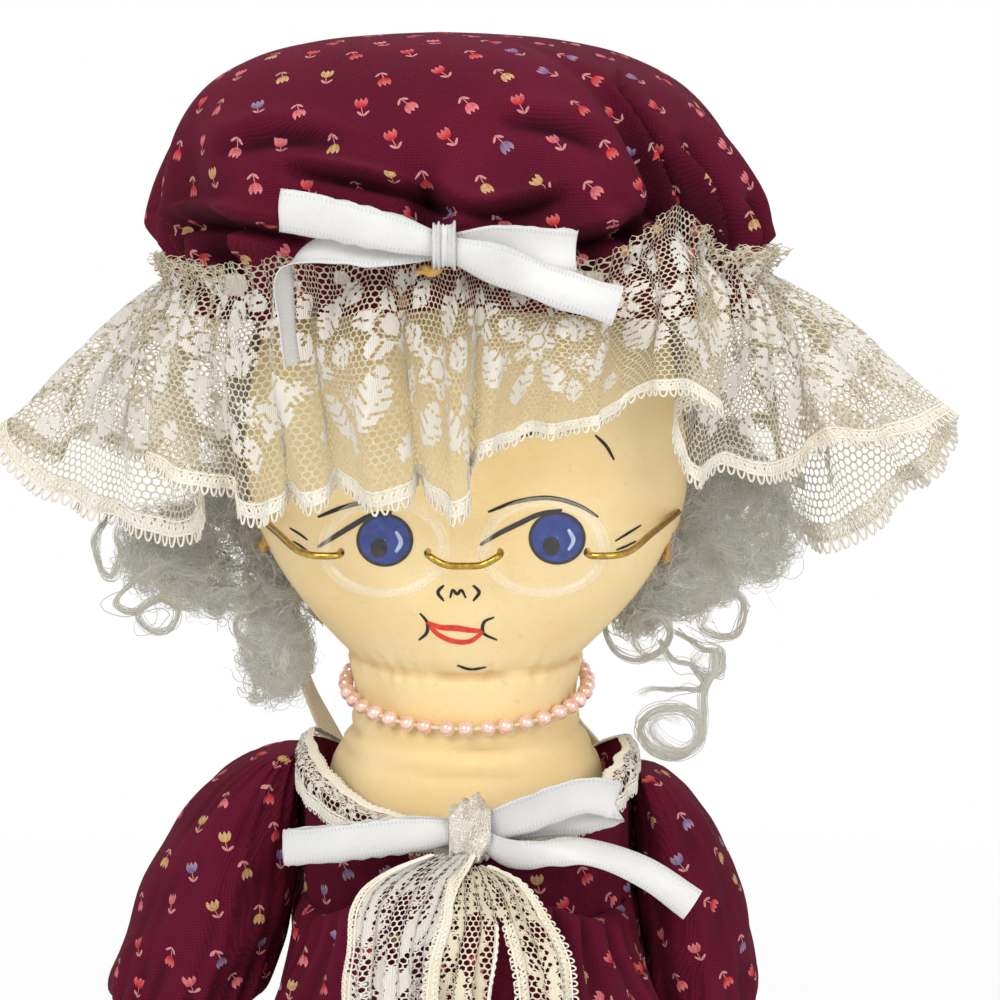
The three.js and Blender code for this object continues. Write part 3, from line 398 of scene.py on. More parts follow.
def muslin_paint():
    p = Paint("muslin", 0.9, Sheen_Weight=0.15, Sheen_Roughness=0.5, Specular_IOR_Level=0.2)
    u, v = p.uv("cloth")
    threads = p.times(p.sine(u, 0.62), p.sine(v, 0.62))
    base = p.mottle(38, 4, 0.3, 0.75, (252, 231, 181), (248, 218, 154))
    base = p.tint(base, p.noise(420, 2), 0.62, 0.8, 0.35, (228, 190, 132))
    # Painted shade: the attribute read here darkens the cloth in its creases and folds, where shade falls.
    base = p.mix(p.attribute("crease_shade"), base, colour(205, 152, 92))
    p.set(Base_Color=p.tint(base, threads, -1, 1, 0.24, (226, 186, 122)))
    p.bump(p.plus(threads, p.times(p.noise(900, 2), 0.8)), 0.00006, 0.6)
    return p.made


def draped_threads(p, pitch):
    """Threads a pitch apart along lines that follow a cloth round the doll, from -1 to 1."""
    x, y, z = p.split(p.here())
    deep = p.absolute(p.minus(y, float(SHIFT[1]) / 1000))
    warp = p.sine(p.minus(p.absolute(x), deep), pitch)
    return p.times(p.plus(warp, p.sine(p.minus(z, deep), pitch)), 0.5)


def tulip_head(p, x, y):
    """1 inside the flower of the print."""
    square = p.times(x, x)
    below = p.times(square, p.math("MULTIPLY_ADD", square, 0.11, 0.1))
    tip = p.math("MULTIPLY_ADD", p.math("COSINE", p.times(x, TURN / 1.25)), 0.4, 2.6)
    head = p.times(p.under(below, y), p.under(y, tip))
    return p.times(head, p.under(p.absolute(x), 1.8))


def tulip_green(p, x, y):
    """1 inside the stem and the two leaves of the print."""
    stem = p.under(p.absolute(p.math("MULTIPLY_ADD", y, 0.15, x)), 0.12)
    green = p.times(p.times(stem, p.under(-2.7, y)), p.under(y, 0.2))
    for across, up, lean in ((-0.5, -1.75, 2.3), (1.3, -1.9, 0.7)):
        dx, dy = p.minus(x, across), p.minus(y, up)
        c, s = math.cos(lean), math.sin(lean)
        along = p.plus(p.times(dx, c), p.times(dy, s))
        thick = p.math("DIVIDE", p.minus(p.times(dy, c), p.times(dx, s)), 0.34)
        leaf = p.plus(p.times(along, along), p.times(thick, thick))
        green = p.math("MAXIMUM", green, p.under(leaf, 1.0))
    return green


def calico_paint():
    p = Paint("calico", 0.9, Sheen_Weight=0.06, Sheen_Roughness=0.4, Specular_IOR_Level=0.12,
              Sheen_Tint=colour(200, 90, 120))
    threads = draped_threads(p, 0.00074)
    base = p.mottle(30, 4, 0.3, 0.7, (94, 14, 39), (114, 23, 52))
    base = p.tint(base, threads, -1, 1, 0.6, (52, 7, 22))
    # Painted shade: the attribute read here darkens the calico in its folds, where shade falls.
    base = p.mix(p.attribute("crease_shade"), base, colour(38, 5, 18))
    base = p.tint(base, p.noise(300, 5, 0.7), 0.72, 0.8, 0.25, (150, 80, 100))
    x, y = p.uv("motif")
    base = p.mix(p.times(tulip_green(p, x, y), 0.8), base, colour(222, 156, 150))
    dye = p.node("ShaderNodeValToRGB")
    stops = dye.color_ramp.elements
    dye.color_ramp.interpolation = "CONSTANT"
    shades = ((0, (206, 44, 56)), (0.36, (222, 104, 116)), (0.6, (206, 168, 104)), (0.84, (118, 112, 158)))
    while len(stops) < len(shades):
        stops.new(1)
    for stop, (at, tone) in zip(list(stops), shades):
        stop.position, stop.color = at, colour(*tone)
    p.put(dye.inputs[0], p.uv("dye")[0])
    vein = p.under(p.absolute(p.minus(p.absolute(x), 0.75)), 0.12)
    petal = p.mix(p.times(vein, 0.45), dye.outputs[0], colour(110, 24, 40))
    petal = p.tint(petal, y, 0.4, 2.6, 0.3, (240, 190, 170))
    worn = p.spread(p.noise(900, 2), 0.35, 0.6, 0.7, 0.96)
    p.set(Base_Color=p.mix(p.times(tulip_head(p, x, y), worn), base, petal))
    p.bump(p.plus(threads, p.noise(700, 2)), 0.00014, 0.7)
    return p.made


def lace_paint(name, light, dark, through=0.0):
    p = Paint(name, 0.9, Sheen_Weight=0.2, Specular_IOR_Level=0.25)
    rib = p.sine(p.uv("cloth")[0], 0.45)
    base = p.mottle(60, 4, 0.3, 0.75, light, dark)
    base = p.tint(base, rib, -1, 1, 0.12, (170, 158, 132))
    p.set(Base_Color=base)
    p.bump(p.plus(rib, p.noise(1500, 2)), 0.0001, 0.7)
    if through:
        p.let_through(through, base)
    return p.made


def gathered_paint():
    """Crushed net: threads over the shade between them."""
    p = Paint("gathered_lace", 0.9, Sheen_Weight=0.2, Specular_IOR_Level=0.2)
    cells = p.node("ShaderNodeTexVoronoi", feature="DISTANCE_TO_EDGE")
    p.fill(cells, Vector=p.here(), Scale=1300.0)
    thread = p.spread(cells.outputs["Distance"], 0.06, 0.2, 1, 0)
    deep = p.mottle(260, 3, 0.35, 0.65, (234, 223, 203), (202, 186, 164))
    p.set(Base_Color=p.mix(thread, deep, colour(253, 248, 237)))
    p.bump(p.plus(thread, p.noise(500, 3)), 0.0005, 0.8)
    return p.made


def ribbon_paint():
    p = Paint("satin", 0.3, Sheen_Weight=0.15, Anisotropic=0.6, Specular_IOR_Level=0.6)
    u, v = p.uv("cloth")
    v = p.absolute(v)
    edge = p.spread(p.absolute(p.minus(v, 0.8)), 0.05, 0.12, 1, 0)
    stitch = p.spread(p.sine(u, 0.9), -0.2, 0.4)
    base = p.mottle(45, 3, 0.35, 0.7, (226, 225, 222), (208, 207, 204))
    base = p.mix(p.times(edge, p.times(stitch, 0.34)), base, colour(158, 156, 154))
    # Painted shade: darker towards both edges, where the cupped ribbon turns from the light.
    base = p.tint(base, v, 0.2, 1.0, 0.3, (186, 186, 188))
    p.set(Base_Color=p.tint(base, p.noise(28, 2), 0.66, 0.8, 0.3, (236, 208, 190)))
    p.bump(p.plus(p.times(p.sine(u, 0.5), 0.35), p.times(edge, stitch)), 0.0001, 0.6)
    return p.made


def hair_paint():
    p = Paint("mohair", 0.45, Sheen_Weight=0.3, Specular_IOR_Level=0.4)
    base = p.mix(p.uv("cloth")[0], colour(212, 211, 206), colour(235, 234, 227))
    base = p.tint(base, p.noise(90, 3), 0.45, 0.75, 0.5, (214, 204, 178))
    p.set(Base_Color=base)
    p.let_through(0.62, base)
    return p.made


def plain_paint(name, light, dark, scale, roughness, depth=0.0, **fixed):
    """Colour that wanders between two shades, with a fine grain where depth is given."""
    p = Paint(name, roughness, **fixed)
    p.set(Base_Color=p.mottle(scale, 4, 0.3, 0.7, light, dark))
    if depth:
        p.bump(p.noise(scale * 6, 3), depth, 0.5)
    return p.made


def lens_paint():
    p = Paint("clear_plastic", 0.06, Specular_IOR_Level=0.6, Coat_Weight=0.3)
    p.set(Base_Color=p.mottle(220, 3, 0.35, 0.7, (252, 250, 244), (240, 238, 230)))
    scratch = p.spread(p.noise(500, 4), 0.6, 0.8, 0, 0.03)
    # Painted highlight: the attribute read here makes the rim whiter and less clear, standing in for the
    # light its edges catch.
    seen = p.plus(p.math("MULTIPLY_ADD", p.attribute("rim_highlight"), 0.2, 0.016), scratch)
    p.mix_shaders(seen, p.node("ShaderNodeBsdfTransparent"), p.shader)
    return p.made


MUSLIN = muslin_paint()
CALICO = calico_paint()
LACE = lace_paint("net_lace", (240, 231, 206), (222, 208, 174), 0.2)
WORKED = lace_paint("worked_lace", (253, 250, 243), (246, 240, 226), 0.2)
IVORY = lace_paint("ivory_lace", (250, 240, 216), (238, 224, 192), 0.15)
GATHERED = gathered_paint()
BRAID = lace_paint("braid", (250, 245, 232), (236, 226, 202))
SATIN = ribbon_paint()
HAIR = hair_paint()
BRASS = plain_paint("brass_wire", (206, 172, 84), (160, 124, 48), 700, 0.24, 0.00002, Metallic=1.0)
PEARL = plain_paint("pearl", (250, 214, 198), (238, 184, 164), 160, 0.16, Metallic=0.3, Coat_Weight=1.0,
                    Coat_Roughness=0.12, Sheen_Weight=0.2)
CLEAR = lens_paint()
TAPE = lace_paint("twill_tape", (240, 226, 196), (222, 204, 168))
ELASTIC = lace_paint("elastic", (240, 238, 232), (224, 222, 214))
INK = plain_paint("ink", (26, 24, 26), (48, 42, 40), 900, 0.8)
IRIS = plain_paint("iris_blue", (48, 72, 152), (26, 44, 110), 420, 0.75)
GLINT = plain_paint("eye_glint", (196, 208, 236), (160, 176, 214), 500, 0.8)
LIP = plain_paint("lip_red", (232, 72, 50), (206, 46, 36), 500, 0.75)
GLUE = plain_paint("glue", (212, 170, 92), (196, 146, 62), 200, 0.3, 0.0001, Subsurface_Weight=0.3,
                   Subsurface_Scale=0.002)

# Printed cloth: size of the print's unit, its spacing, and how far off a tulip's plane it is still printed
PRINT, PRINT_ALONG, PRINT_DOWN, PRINT_PLANE = 0.88, 13.0, 10.4, 1.9


def sow(grid, arc, down_arc, closed, rng):
    """Tulips in staggered rows over a cloth: places, both directions of each, and dyes."""
    rows, columns = grid.shape[:2]
    around = np.roll(grid, -1, 1) - np.roll(grid, 1, 1) if closed else np.gradient(grid, axis=1)
    down = np.gradient(grid, axis=0)
    spots, frames, dyes = [], [], []
    level, odd = PRINT_DOWN * 0.6, 0
    while level < down_arc[-1]:
        middle = int(np.argmin(np.abs(down_arc - level)))
        length = arc[middle, -1]
        count = max(1, int(round(length / PRINT_ALONG)))
        for k in range(count):
            want = (k + 0.5 * odd + rng.uniform(-0.13, 0.13)) * length / count % length
            c = int(np.searchsorted(arc[middle], want) - 1) % columns
            r = int(np.clip(middle + rng.integers(-1, 2), 1, rows - 2))
            t, d = unit(around[r, c]), unit(down[r, c])
            t = unit(np.cross(d, unit(np.cross(t, d))))
            lean = rng.normal(0.35, 0.22) + (math.pi if (k + odd) % 2 else 0)
            spots.append(grid[r, c])
            frames.append((math.cos(lean) * t - math.sin(lean) * d, -math.cos(lean) * d - math.sin(lean) * t))
            dyes.append((rng.uniform(), rng.uniform()))
        level += PRINT_DOWN
        odd = 1 - odd
    return np.array(spots), np.array(frames), np.array(dyes)


def printed(name, grid, body, node, seed, closed=True, crease_shade=0.0):
    """Calico whose every face takes its place from the nearest tulip, so that none is stretched."""
    rows, columns = grid.shape[:2]
    faces = grid_faces(rows, columns, closed)
    flat = grid.reshape(-1, 3)
    down_arc = travel(grid)
    step = np.linalg.norm(np.roll(grid, -1, 1) - grid, axis=2)
    if not closed:
        step[:, -1] = 0
    arc = np.concatenate([np.zeros((rows, 1)), np.cumsum(step, 1)], 1)
    spots, frames, dyes = sow(grid, arc, down_arc, closed, np.random.default_rng(seed))
    tree = KDTree(len(spots))
    for k, spot in enumerate(spots):
        tree.insert(spot, k)
    tree.balance()
    near = np.array([tree.find(middle)[1] for middle in flat[faces].mean(1)])
    rel, frames = flat[faces] - spots[near][:, None], frames[near]
    motif = np.stack([(rel * frames[:, None, k]).sum(-1) for k in (0, 1)], -1) / PRINT
    height = np.abs((rel * np.cross(frames[:, 0], frames[:, 1])[:, None]).sum(-1)).max(1)
    motif[height > PRINT_PLANE] += 90
    dye = np.repeat(dyes[near][:, None], 4, 1)
    cloth = grid_corners(arc[:, :-1], down_arc[:, None], closed, float(arc[:, -1].mean()))
    corners = {"cloth": cloth, "motif": motif, "dye": dye}
    made = piece(name, flat, faces, CALICO, body, "calico", (node,), corners)
    # The values stored here are painted shade for the folds, darkest where the cloth goes in.
    shade(made, "crease_shade", np.broadcast_to(crease_shade, (rows, columns)))
    return made


# Camera, floor and light
def face_to(made, spot, target):
    made.location = spot
    made.rotation_mode = "QUATERNION"
    made.rotation_quaternion = (Vector(target) - Vector(spot)).to_track_quat("-Z", "Y")


def floor(size=8.0, below=0.012):
    """Floor that shows white to the camera, with a little shade near the doll."""
    mesh = bpy.data.meshes.new("floor")
    level = CAD_BOX[0][2] - below
    corners = [(x * size, y * size, level) for x, y in ((-1, -1), (1, -1), (1, 1), (-1, 1))]
    mesh.from_pydata(corners, [], [(0, 1, 2, 3)])
    p = Paint("floor", 0.9)
    p.set(Base_Color=p.mix(p.spread(p.noise(2, 3), 0.3, 0.7), (0.86, 0.86, 0.86, 1), (0.9, 0.9, 0.9, 1)))
    away = p.node("ShaderNodeVectorMath", operation="LENGTH")
    p.put(away.inputs[0], p.here())
    white = p.times(p.seen_rays(), p.spread(away.outputs["Value"], 0.35, 1.4, 0.7, 1.0))
    p.mix_shaders(white, p.shader, p.node("ShaderNodeEmission"))
    mesh.materials.append(p.made)
    add("floor", mesh)


def stage():
    cam = bpy.data.cameras.new("camera")
    cam.lens, cam.sensor_width = 105, 36
    cam.clip_start, cam.clip_end = 0.01, 50
    camera = add("camera", cam)
    face_to(camera, place(EYE), place(TARGET))
    bpy.context.scene.camera = camera
    floor()
    world = bpy.data.worlds.new("world")
    bpy.context.scene.world = world
    world.use_nodes = True
    sky = Nodes(world.node_tree)
    back = sky.node("ShaderNodeBackground")
    sky.fill(back, Color=(1, 1, 1, 1), Strength=sky.spread(sky.seen_rays(), 0, 1, 0.5, 1.0))
    sky.put(sky.node("ShaderNodeOutputWorld").inputs[0], back.outputs[0])
    for name, spot, size, power in (
        ("key", (-0.75, -1.5, 1.15), 1.1, 21),
        ("fill", (1.2, -1.4, 0.5), 1.3, 11),
        ("top", (0.1, 0.2, 1.6), 1.2, 9),
    ):
        lamp = bpy.data.lights.new(name, "AREA")
        lamp.size, lamp.energy = size, power
        face_to(add(name, lamp), spot, (0, -0.06, -0.05))
    bpy.context.scene.view_settings.view_transform = "Standard"


stage()

# Places in the picture
LOOK = unit(TARGET - EYE)
UP = np.cross((1.0, 0.0, 0.0), LOOK)


def aim(px, py):
    """Direction from the eye through a place in the picture."""
    return unit(LOOK + np.array((1.0, 0, 0)) * (px - MIDDLE) * PIXEL + UP * (MIDDLE - py) * PIXEL)


def seen(px, py, y):
    """The place at a depth y that is seen at a place in the picture."""
    look = aim(px, py)
    return EYE + look * ((y - EYE[1]) / look[1])


def pictured(points):
    """Places in the picture of points."""
    rel = points - EYE
    far = rel @ LOOK
    return np.stack([MIDDLE + rel[..., 0] / far / PIXEL, MIDDLE - (rel @ UP) / far / PIXEL], -1)


# Stuffed muslin: height, half width and depth of head, neck and chest in one skin
SKIN = [
    (115.6, 2.0, 1.8), (114.8, 9.0, 7.6), (111, 22, 18.9), (103, 34.1, 29), (90, 44.6, 37),
    (74.2, 51.2, 41), (58, 54.5, 43), (43, 55, 43), (31, 52.8, 41.8), (20.9, 48, 39.6), (10.6, 40.4, 36.1),
    (5, 35.4, 33.1), (1.6, 31.8, 31), (-0.4, 29.6, 29.2), (-1.4, 29.0, 28.6), (-2.6, 29.4, 29.0),
    (-6, 29.0, 28.8), (-11, 28.2, 28.0), (-16, 28.1, 27.8), (-20.4, 28.9, 28.1), (-21.6, 28.9, 27.9),
    (-23, 30.0, 28.8), (-26.2, 31.6, 29.7), (-30.4, 33.8, 31), (-39, 35.6, 32.8), (-56, 36, 33),
    (-70, 32.4, 29.7), (-76, 22, 20),
]


def skin_grid(rows=170, columns=168):
    z, half, deep = profile(SKIN, rows, [0, 1])
    t, zz = np.meshgrid(ring(columns), z)
    x, y = np.sin(t) * half, -np.cos(t) * deep
    soft = 0.35 * np.cos(3 * t + zz / 17) + 0.28 * np.cos(5 * t - zz / 11 + 1) + 0.2 * np.cos(9 * t + zz / 7)
    soft = soft * ease((112 - zz) / 20)
    pucker = 0.35 * bell(zz + 0.8, 3.2) * waves(t, 24, 52, 3)
    from_seam = (np.abs(t - math.pi) - math.pi / 2) * half
    fold = -0.9 * bell(zz + 22.4 - 1.2 * np.cos(t), 1.1) * ease(0.5 + 0.8 * waves(t, 1, 5, 8))
    fold -= 0.6 * bell(zz + 27.2 + np.sin(t), 1.0) * ease(0.4 + 0.8 * waves(t, 1, 5, 9))
    out = 1 + (soft + pucker - 0.5 * bell(from_seam, 1.1) + fold) / np.hypot(x, y)
    zz = zz - 0.9 * bell(zz + 1, 5) * np.cos(t)
    # Painted shade in the crease between head and neck and in the neck's folds, and a darker line along the
    # back seam.
    dark = 0.75 * bell(zz + 1.9, 1.1) * (0.75 + 0.25 * waves(t, 5, 20, 4))
    dark += -0.42 * fold + 0.35 * bell(from_seam, 0.5)
    return np.stack([x * out, y * out, zz], -1), np.clip(dark, 0, 0.9)


def stuffed(name, grid, girth, body, replaces, dark):
    """A muslin skin; girth is the length of cloth round it."""
    rows, columns = grid.shape[:2]
    around = np.arange(columns)[None] * girth / columns
    cloth = grid_corners(around, travel(grid)[:, None], True, girth)
    made = piece(name, grid.reshape(-1, 3), grid_faces(rows, columns, True), MUSLIN, body, "muslin", replaces,
                 {"cloth": cloth})
    # dark holds painted shade for the creases and folds, stored on the mesh.
    shade(made, "crease_shade", dark)
    return made


grid, dark = skin_grid()
skin = stuffed("muslin_skin", grid, TURN * 50, None, ("head", "neck_and_chest"), dark)
bend(skin, (0, 0, -14), (0, 0, 3))
SKIN_TREE = BVHTree.FromPolygons([Vector(p) for p in grid.reshape(-1, 3)],
                                 grid_faces(*grid.shape[:2], True).tolist())


def cast(px, py):
    """Where the line of sight through a place in the picture meets the skin, and the normal there."""
    hit, normal, _, _ = SKIN_TREE.ray_cast(Vector(EYE), Vector(aim(px, py)))
    normal = np.array(normal)
    if normal @ aim(px, py) > 0:
        normal = -normal
    return np.array(hit), normal


# Drawn face: strokes and filled shapes that lie on the skin
def stroke(points, width, rise=0.12):
    """A pen line through places in the picture, finer at its ends."""
    path = line(points, max(8, len(points) * 9))
    at, out = np.swapaxes([cast(*p) for p in path], 0, 1)
    side = unit(np.cross(unit(np.gradient(at, axis=0)), out))
    thin = 0.45 + 0.55 * np.sin(math.pi * np.linspace(0, 1, len(at))) ** 0.6
    off = side * (width * 0.12 * thin)[:, None]
    return np.stack([at + off + out * rise, at - off + out * rise], 1).reshape(-1, 3), grid_faces(len(at), 2)


def disc(cx, cy, rx, ry, rise, rings=6, sides=40, share=0.0):
    """A filled round on the skin; share leaves the middle open."""
    points = []
    for k in range(rings + 1):
        r = max(share + (1 - share) * k / rings, 0.02)
        for a in ring(sides):
            hit, out = cast(cx + rx * r * math.cos(a), cy + ry * r * math.sin(a))
            points.append(hit + out * rise)
    return np.array(points), grid_faces(rings + 1, sides, True)


# Lines of the face: places in the picture and width of the pen there
INK_LINES = [
    ([(318, 517), (338, 509), (360, 503), (386, 501)], 4.5),
    ([(488, 512), (515, 502), (550, 498), (580, 506), (598, 517)], 4.5),
    ([(318, 547), (334, 537), (352, 526), (372, 515), (392, 512)], 5.5),
    ([(480, 545), (498, 534), (518, 524), (540, 514), (562, 510)], 5.5),
    ([(520, 437), (546, 430), (575, 430)], 3.5),
    ([(595, 435), (606, 446), (614, 460)], 3.5),
    ([(290, 528), (300, 534), (308, 540)], 3.2),
    ([(293, 541), (301, 546), (309, 552)], 3.2),
    ([(615, 541), (628, 533), (641, 525)], 3.2),
    ([(616, 550), (626, 546), (636, 541)], 3.2),
    ([(444, 585), (438, 592), (444, 601)], 3.5),
    ([(473, 585), (479, 592), (473, 601)], 3.5),
    ([(450, 598), (453, 590), (457, 594), (461, 590), (466, 598)], 3.2),
    ([(420, 613), (427, 622), (427, 632), (419, 640)], 3.5),
    ([(494, 617), (484, 622), (483, 632), (497, 640)], 3.5),
    ([(457, 665), (470, 669), (486, 667)], 4.0),
]
LIP_LINES = [
    ([(427, 622), (440, 627), (456, 628), (470, 630), (484, 631)], 7.0),
    ([(427, 622), (438, 634), (454, 641), (470, 641), (484, 631)], 6.5),
]
EYES = [(385, 540), (557, 538)]
face_ink = [stroke(*s) for s in INK_LINES]
for cx, cy in EYES:
    face_ink.append(disc(cx, cy, 28.5, 26.5, 0.16, 2, 48, 0.89))
    face_ink.append(disc(cx - 6, cy + 8, 8.5, 9.5, 0.18, 4, 24))
glints = [stroke([(cx + 11, cy - 9), (cx + 16, cy + 2), (cx + 11, cy + 12)], 4.5, 0.19) for cx, cy in EYES]
for name, drawn, paint in (
    ("face_ink", face_ink, INK),
    ("face_iris", [disc(cx, cy, 27, 25, 0.13) for cx, cy in EYES], IRIS),
    ("face_glint", glints, GLINT),
    ("face_lips", [stroke(*s) for s in LIP_LINES], LIP),
):
    piece(name, *join(drawn), paint, "head", "muslin")


# Cap crown, gathered into its edge: shares of the cap's half width and of its height
CAP_SHAPE = [
    (0.003, 1.0), (0.16, 0.992), (0.38, 0.966), (0.59, 0.9), (0.75, 0.79), (0.86, 0.63), (0.922, 0.46),
    (0.952, 0.3), (0.952, 0.2), (0.932, 0.12), (0.914, 0.07), (0.906, 0.03), (0.9, -0.02), (0.893, -0.08),
    (0.888, -0.14),
]
# Creases of the crown: turn from the front, slant, half width, depth, height and how far up it runs
CAP_CREASES = [
    (-0.1, 0.0, 0.06, 9.0, 0.26, 0.17), (0.86, -0.25, 0.08, 9.0, 0.4, 0.34),
    (1.08, -0.5, 0.08, 8.0, 0.25, 0.3), (-0.92, 0.3, 0.09, 8.0, 0.14, 0.2),
    (-0.62, 0.2, 0.07, 6.5, 0.08, 0.16), (0.45, -0.1, 0.06, 5.0, 0.1, 0.16),
    (-1.25, 0.25, 0.07, 6.0, 0.1, 0.2), (0.66, -0.3, 0.05, 5.0, 0.12, 0.2),
    (1.35, -0.3, 0.07, 5.0, 0.15, 0.25), (0.12, -1.8, 0.12, 4.5, 0.2, 0.12),
    (-0.32, 1.8, 0.12, 4.5, 0.2, 0.12), (0.3, 1.2, 0.1, 3.5, 0.3, 0.14), (2.6, 0.2, 0.07, 5.0, 0.25, 0.3),
    (-2.5, -0.2, 0.07, 5.0, 0.25, 0.3), (3.14, 0.1, 0.06, 4.0, 0.2, 0.25),
]
# Folds of the crown in front: places in the picture, half width there, depth, overhang and its side
CROWN_FOLDS = [
    ([(286, 168), (330, 176), (385, 188), (436, 204)], 6, 6.0, 4.2, (0, -1)),
    ([(420, 188), (436, 202), (452, 214)], 9, 8.5, 2.0, (0, -1)),
    ([(448, 206), (486, 214), (524, 208), (566, 194)], 7, 4.5, 3.4, (0, -1)),
    ([(160, 228), (210, 222), (262, 231), (306, 242)], 7, 7.5, 5.0, (0, -1)),
    ([(172, 284), (205, 264), (240, 262)], 6, 6.0, 3.4, (0, -1)),
    ([(556, 248), (596, 240), (626, 232), (650, 212)], 8, 8.5, 4.6, (0, -1)),
    ([(622, 84), (650, 140), (670, 186), (686, 236)], 7, 9.0, 5.2, (-1, 0)),
    ([(686, 142), (712, 186), (736, 244)], 7, 8.0, 4.6, (-1, 0)),
    ([(214, 152), (270, 138), (340, 142)], 10, 2.6, 2.0, (0, -1)),
    ([(750, 196), (764, 236), (762, 264)], 6, 4.5, 2.6, (-1, 0)),
    ([(500, 120), (560, 128), (606, 150)], 10, 2.4, 1.8, (0, -1)),
]


def gather_level(turn):
    return CAP_GATHER - CAP_DROOP * np.abs(np.sin(turn))


def crown_folds(grid, front):
    """How far the folds push the cloth in or out, and the painted shade in their hollows."""
    at = pictured(grid).reshape(-1, 2)
    every = np.arange(len(at))
    move, dark = np.zeros(len(at)), np.zeros(len(at))
    for places, wide, deep, over, side in CROWN_FOLDS:
        off = at[:, None] - line(places, 40)[None]
        away = np.hypot(off[..., 0], off[..., 1])
        k = away.argmin(1)
        away = away[every, k]
        beyond = off[every, k] @ np.array(side, float)
        fade = np.sin(math.pi * (k + 0.5) / 40) ** 0.6
        move += over * bell(away - 1.7 * wide, 1.2 * wide) * fade * ease(beyond / wide)
        move -= deep * bell(away, wide) * fade
        dark += 0.9 * bell(away, 0.7 * wide) * fade
    return move.reshape(grid.shape[:2]) * front, dark.reshape(grid.shape[:2]) * front


def crown_grid(rows=150, columns=520):
    shape = np.array(CAP_SHAPE)
    s = travel(shape * (70, CAP_HEIGHT))
    share, lift = smooth(s, shape, np.linspace(0, s[-1], rows)).T
    t, share = np.meshgrid(ring(columns), share)
    lift = np.repeat(lift[:, None], columns, 1)
    rise = np.maximum(lift, 0)
    fold = waves(t, 26, 52, 21) * 1.5 * np.clip(1 - rise / 0.34, 0, 1) ** 1.3
    fold = fold + waves(t + 0.25 * rise, 7, 16, 22) * 2.9 * np.clip(1 - rise / 0.85, 0, 1) ** 1.2
    fold = fold + 2.0 * np.cos(3 * t + 0.7 + 2 * rise) * np.cos(2.6 * rise + t) * np.clip(share, 0, 1)
    for turn, slant, wide, deep, height, tall in CAP_CREASES:
        off = (t - turn - slant * rise + math.pi) % TURN - math.pi
        fold = fold - deep * bell(off, wide) * bell(rise - height, tall)
    fold = fold * np.clip(share * 1.6, 0, 1) * (1 - 0.6 * np.clip(-lift / 0.02, 0, 1))
    fold = np.minimum(fold, 0.9 + 45 * np.maximum(rise - 0.12, 0))
    x, y = oval(t, share * CAP_HALF, share * CAP_FRONT, share * CAP_BACK)
    z = gather_level(t) * (1 - lift) + (CAP_GATHER + CAP_HEIGHT) * lift
    out = unit(np.stack([np.sin(t) * 0.8, -np.cos(t), 0.9 * rise], -1))
    grid = np.stack([x - CAP_LEAN * rise, y, z], -1) + out * fold[..., None]
    # Painted shade: darker where the folds go in, more so low on the crown, and along the front folds.
    move, groove_shade = crown_folds(grid, ease(3 * np.cos(t)) * ease((lift - 0.09) / 0.1))
    dark = np.clip(np.clip(-fold / 8, 0, 0.75) * np.clip(1.2 - rise, 0, 1) + groove_shade, 0, 0.85)
    return grid + out * move[..., None], dark


grid, dark = crown_grid()
crown = printed("cap_crown_cloth", grid, "head", "cap_crown", 5, crease_shade=dark)


# Net lace: cells of thread, filled where the pattern is, with a braid and loops along the edge
def net(length, width, pitch, dense, surface, closed=False, thread=0.13):
    """Six-sided cells of thread; dense is 1 where a cell is filled, 0 where open, -1 where there is none."""
    side = pitch / math.sqrt(3)
    row = 1.5 * side
    columns, rows = int(round(length / pitch)), int(width / row) + 1
    stretch = length / (columns * pitch)
    i, j = np.meshgrid(np.arange(columns), np.arange(rows), indexing="ij")
    u, v = (i + 0.5 * (j % 2)).ravel() * pitch, j.ravel() * row
    full = dense(u * stretch, v)
    keep = full > -0.5
    full = full[keep]
    angle = math.radians(30) + ring(6)
    corner = np.stack([np.cos(angle), np.sin(angle)], -1) * side
    middle = np.stack([u[keep], v[keep]], -1)
    key = np.round((middle[:, None] + corner) / (pitch / 2, side / 2)).astype(int)
    if closed:
        key[..., 0] %= 2 * columns
    unique, index = np.unique(key.reshape(-1, 2), axis=0, return_inverse=True)
    index = index.reshape(-1, 6)
    opened = full < 0.85
    gap = (1 - 2 * thread / pitch) * np.clip(1 - full, 0.2, 1)
    inner = middle[opened, None] + corner * gap[opened, None, None]
    flat = np.concatenate([unique * (pitch / 2, side / 2), inner.reshape(-1, 2)]) * (stretch, 1)
    inside = len(unique) + np.arange(inner.shape[0] * 6).reshape(-1, 6)
    outside = index[opened]
    quads = np.stack([outside, np.roll(outside, -1, 1), np.roll(inside, -1, 1), inside], -1).reshape(-1, 4)
    faces = quads.tolist() + index[~opened].tolist()
    corners = np.concatenate([flat[quads].reshape(-1, 2), flat[index[~opened]].reshape(-1, 2)])
    return surface(flat[:, 0], flat[:, 1]), faces, corners


def open_cells(u, v):
    return np.zeros_like(u)


def raised(surface, rise=0.14):
    """The same surface, a little above itself."""
    def above(u, v):
        across = surface(u + 0.3, v) - surface(u - 0.3, v)
        down = surface(u, v + 0.3) - surface(u, v - 0.3)
        return surface(u, v) + unit(np.cross(down, across)) * rise
    return above


def figures(length, width, pitch, pattern, surface):
    """The close-worked figures of a lace, as one layer over its net."""
    return net(length, width, pitch, lambda u, v: np.where(pattern(u, v) > 0.5, 1.0, -1.0), raised(surface))


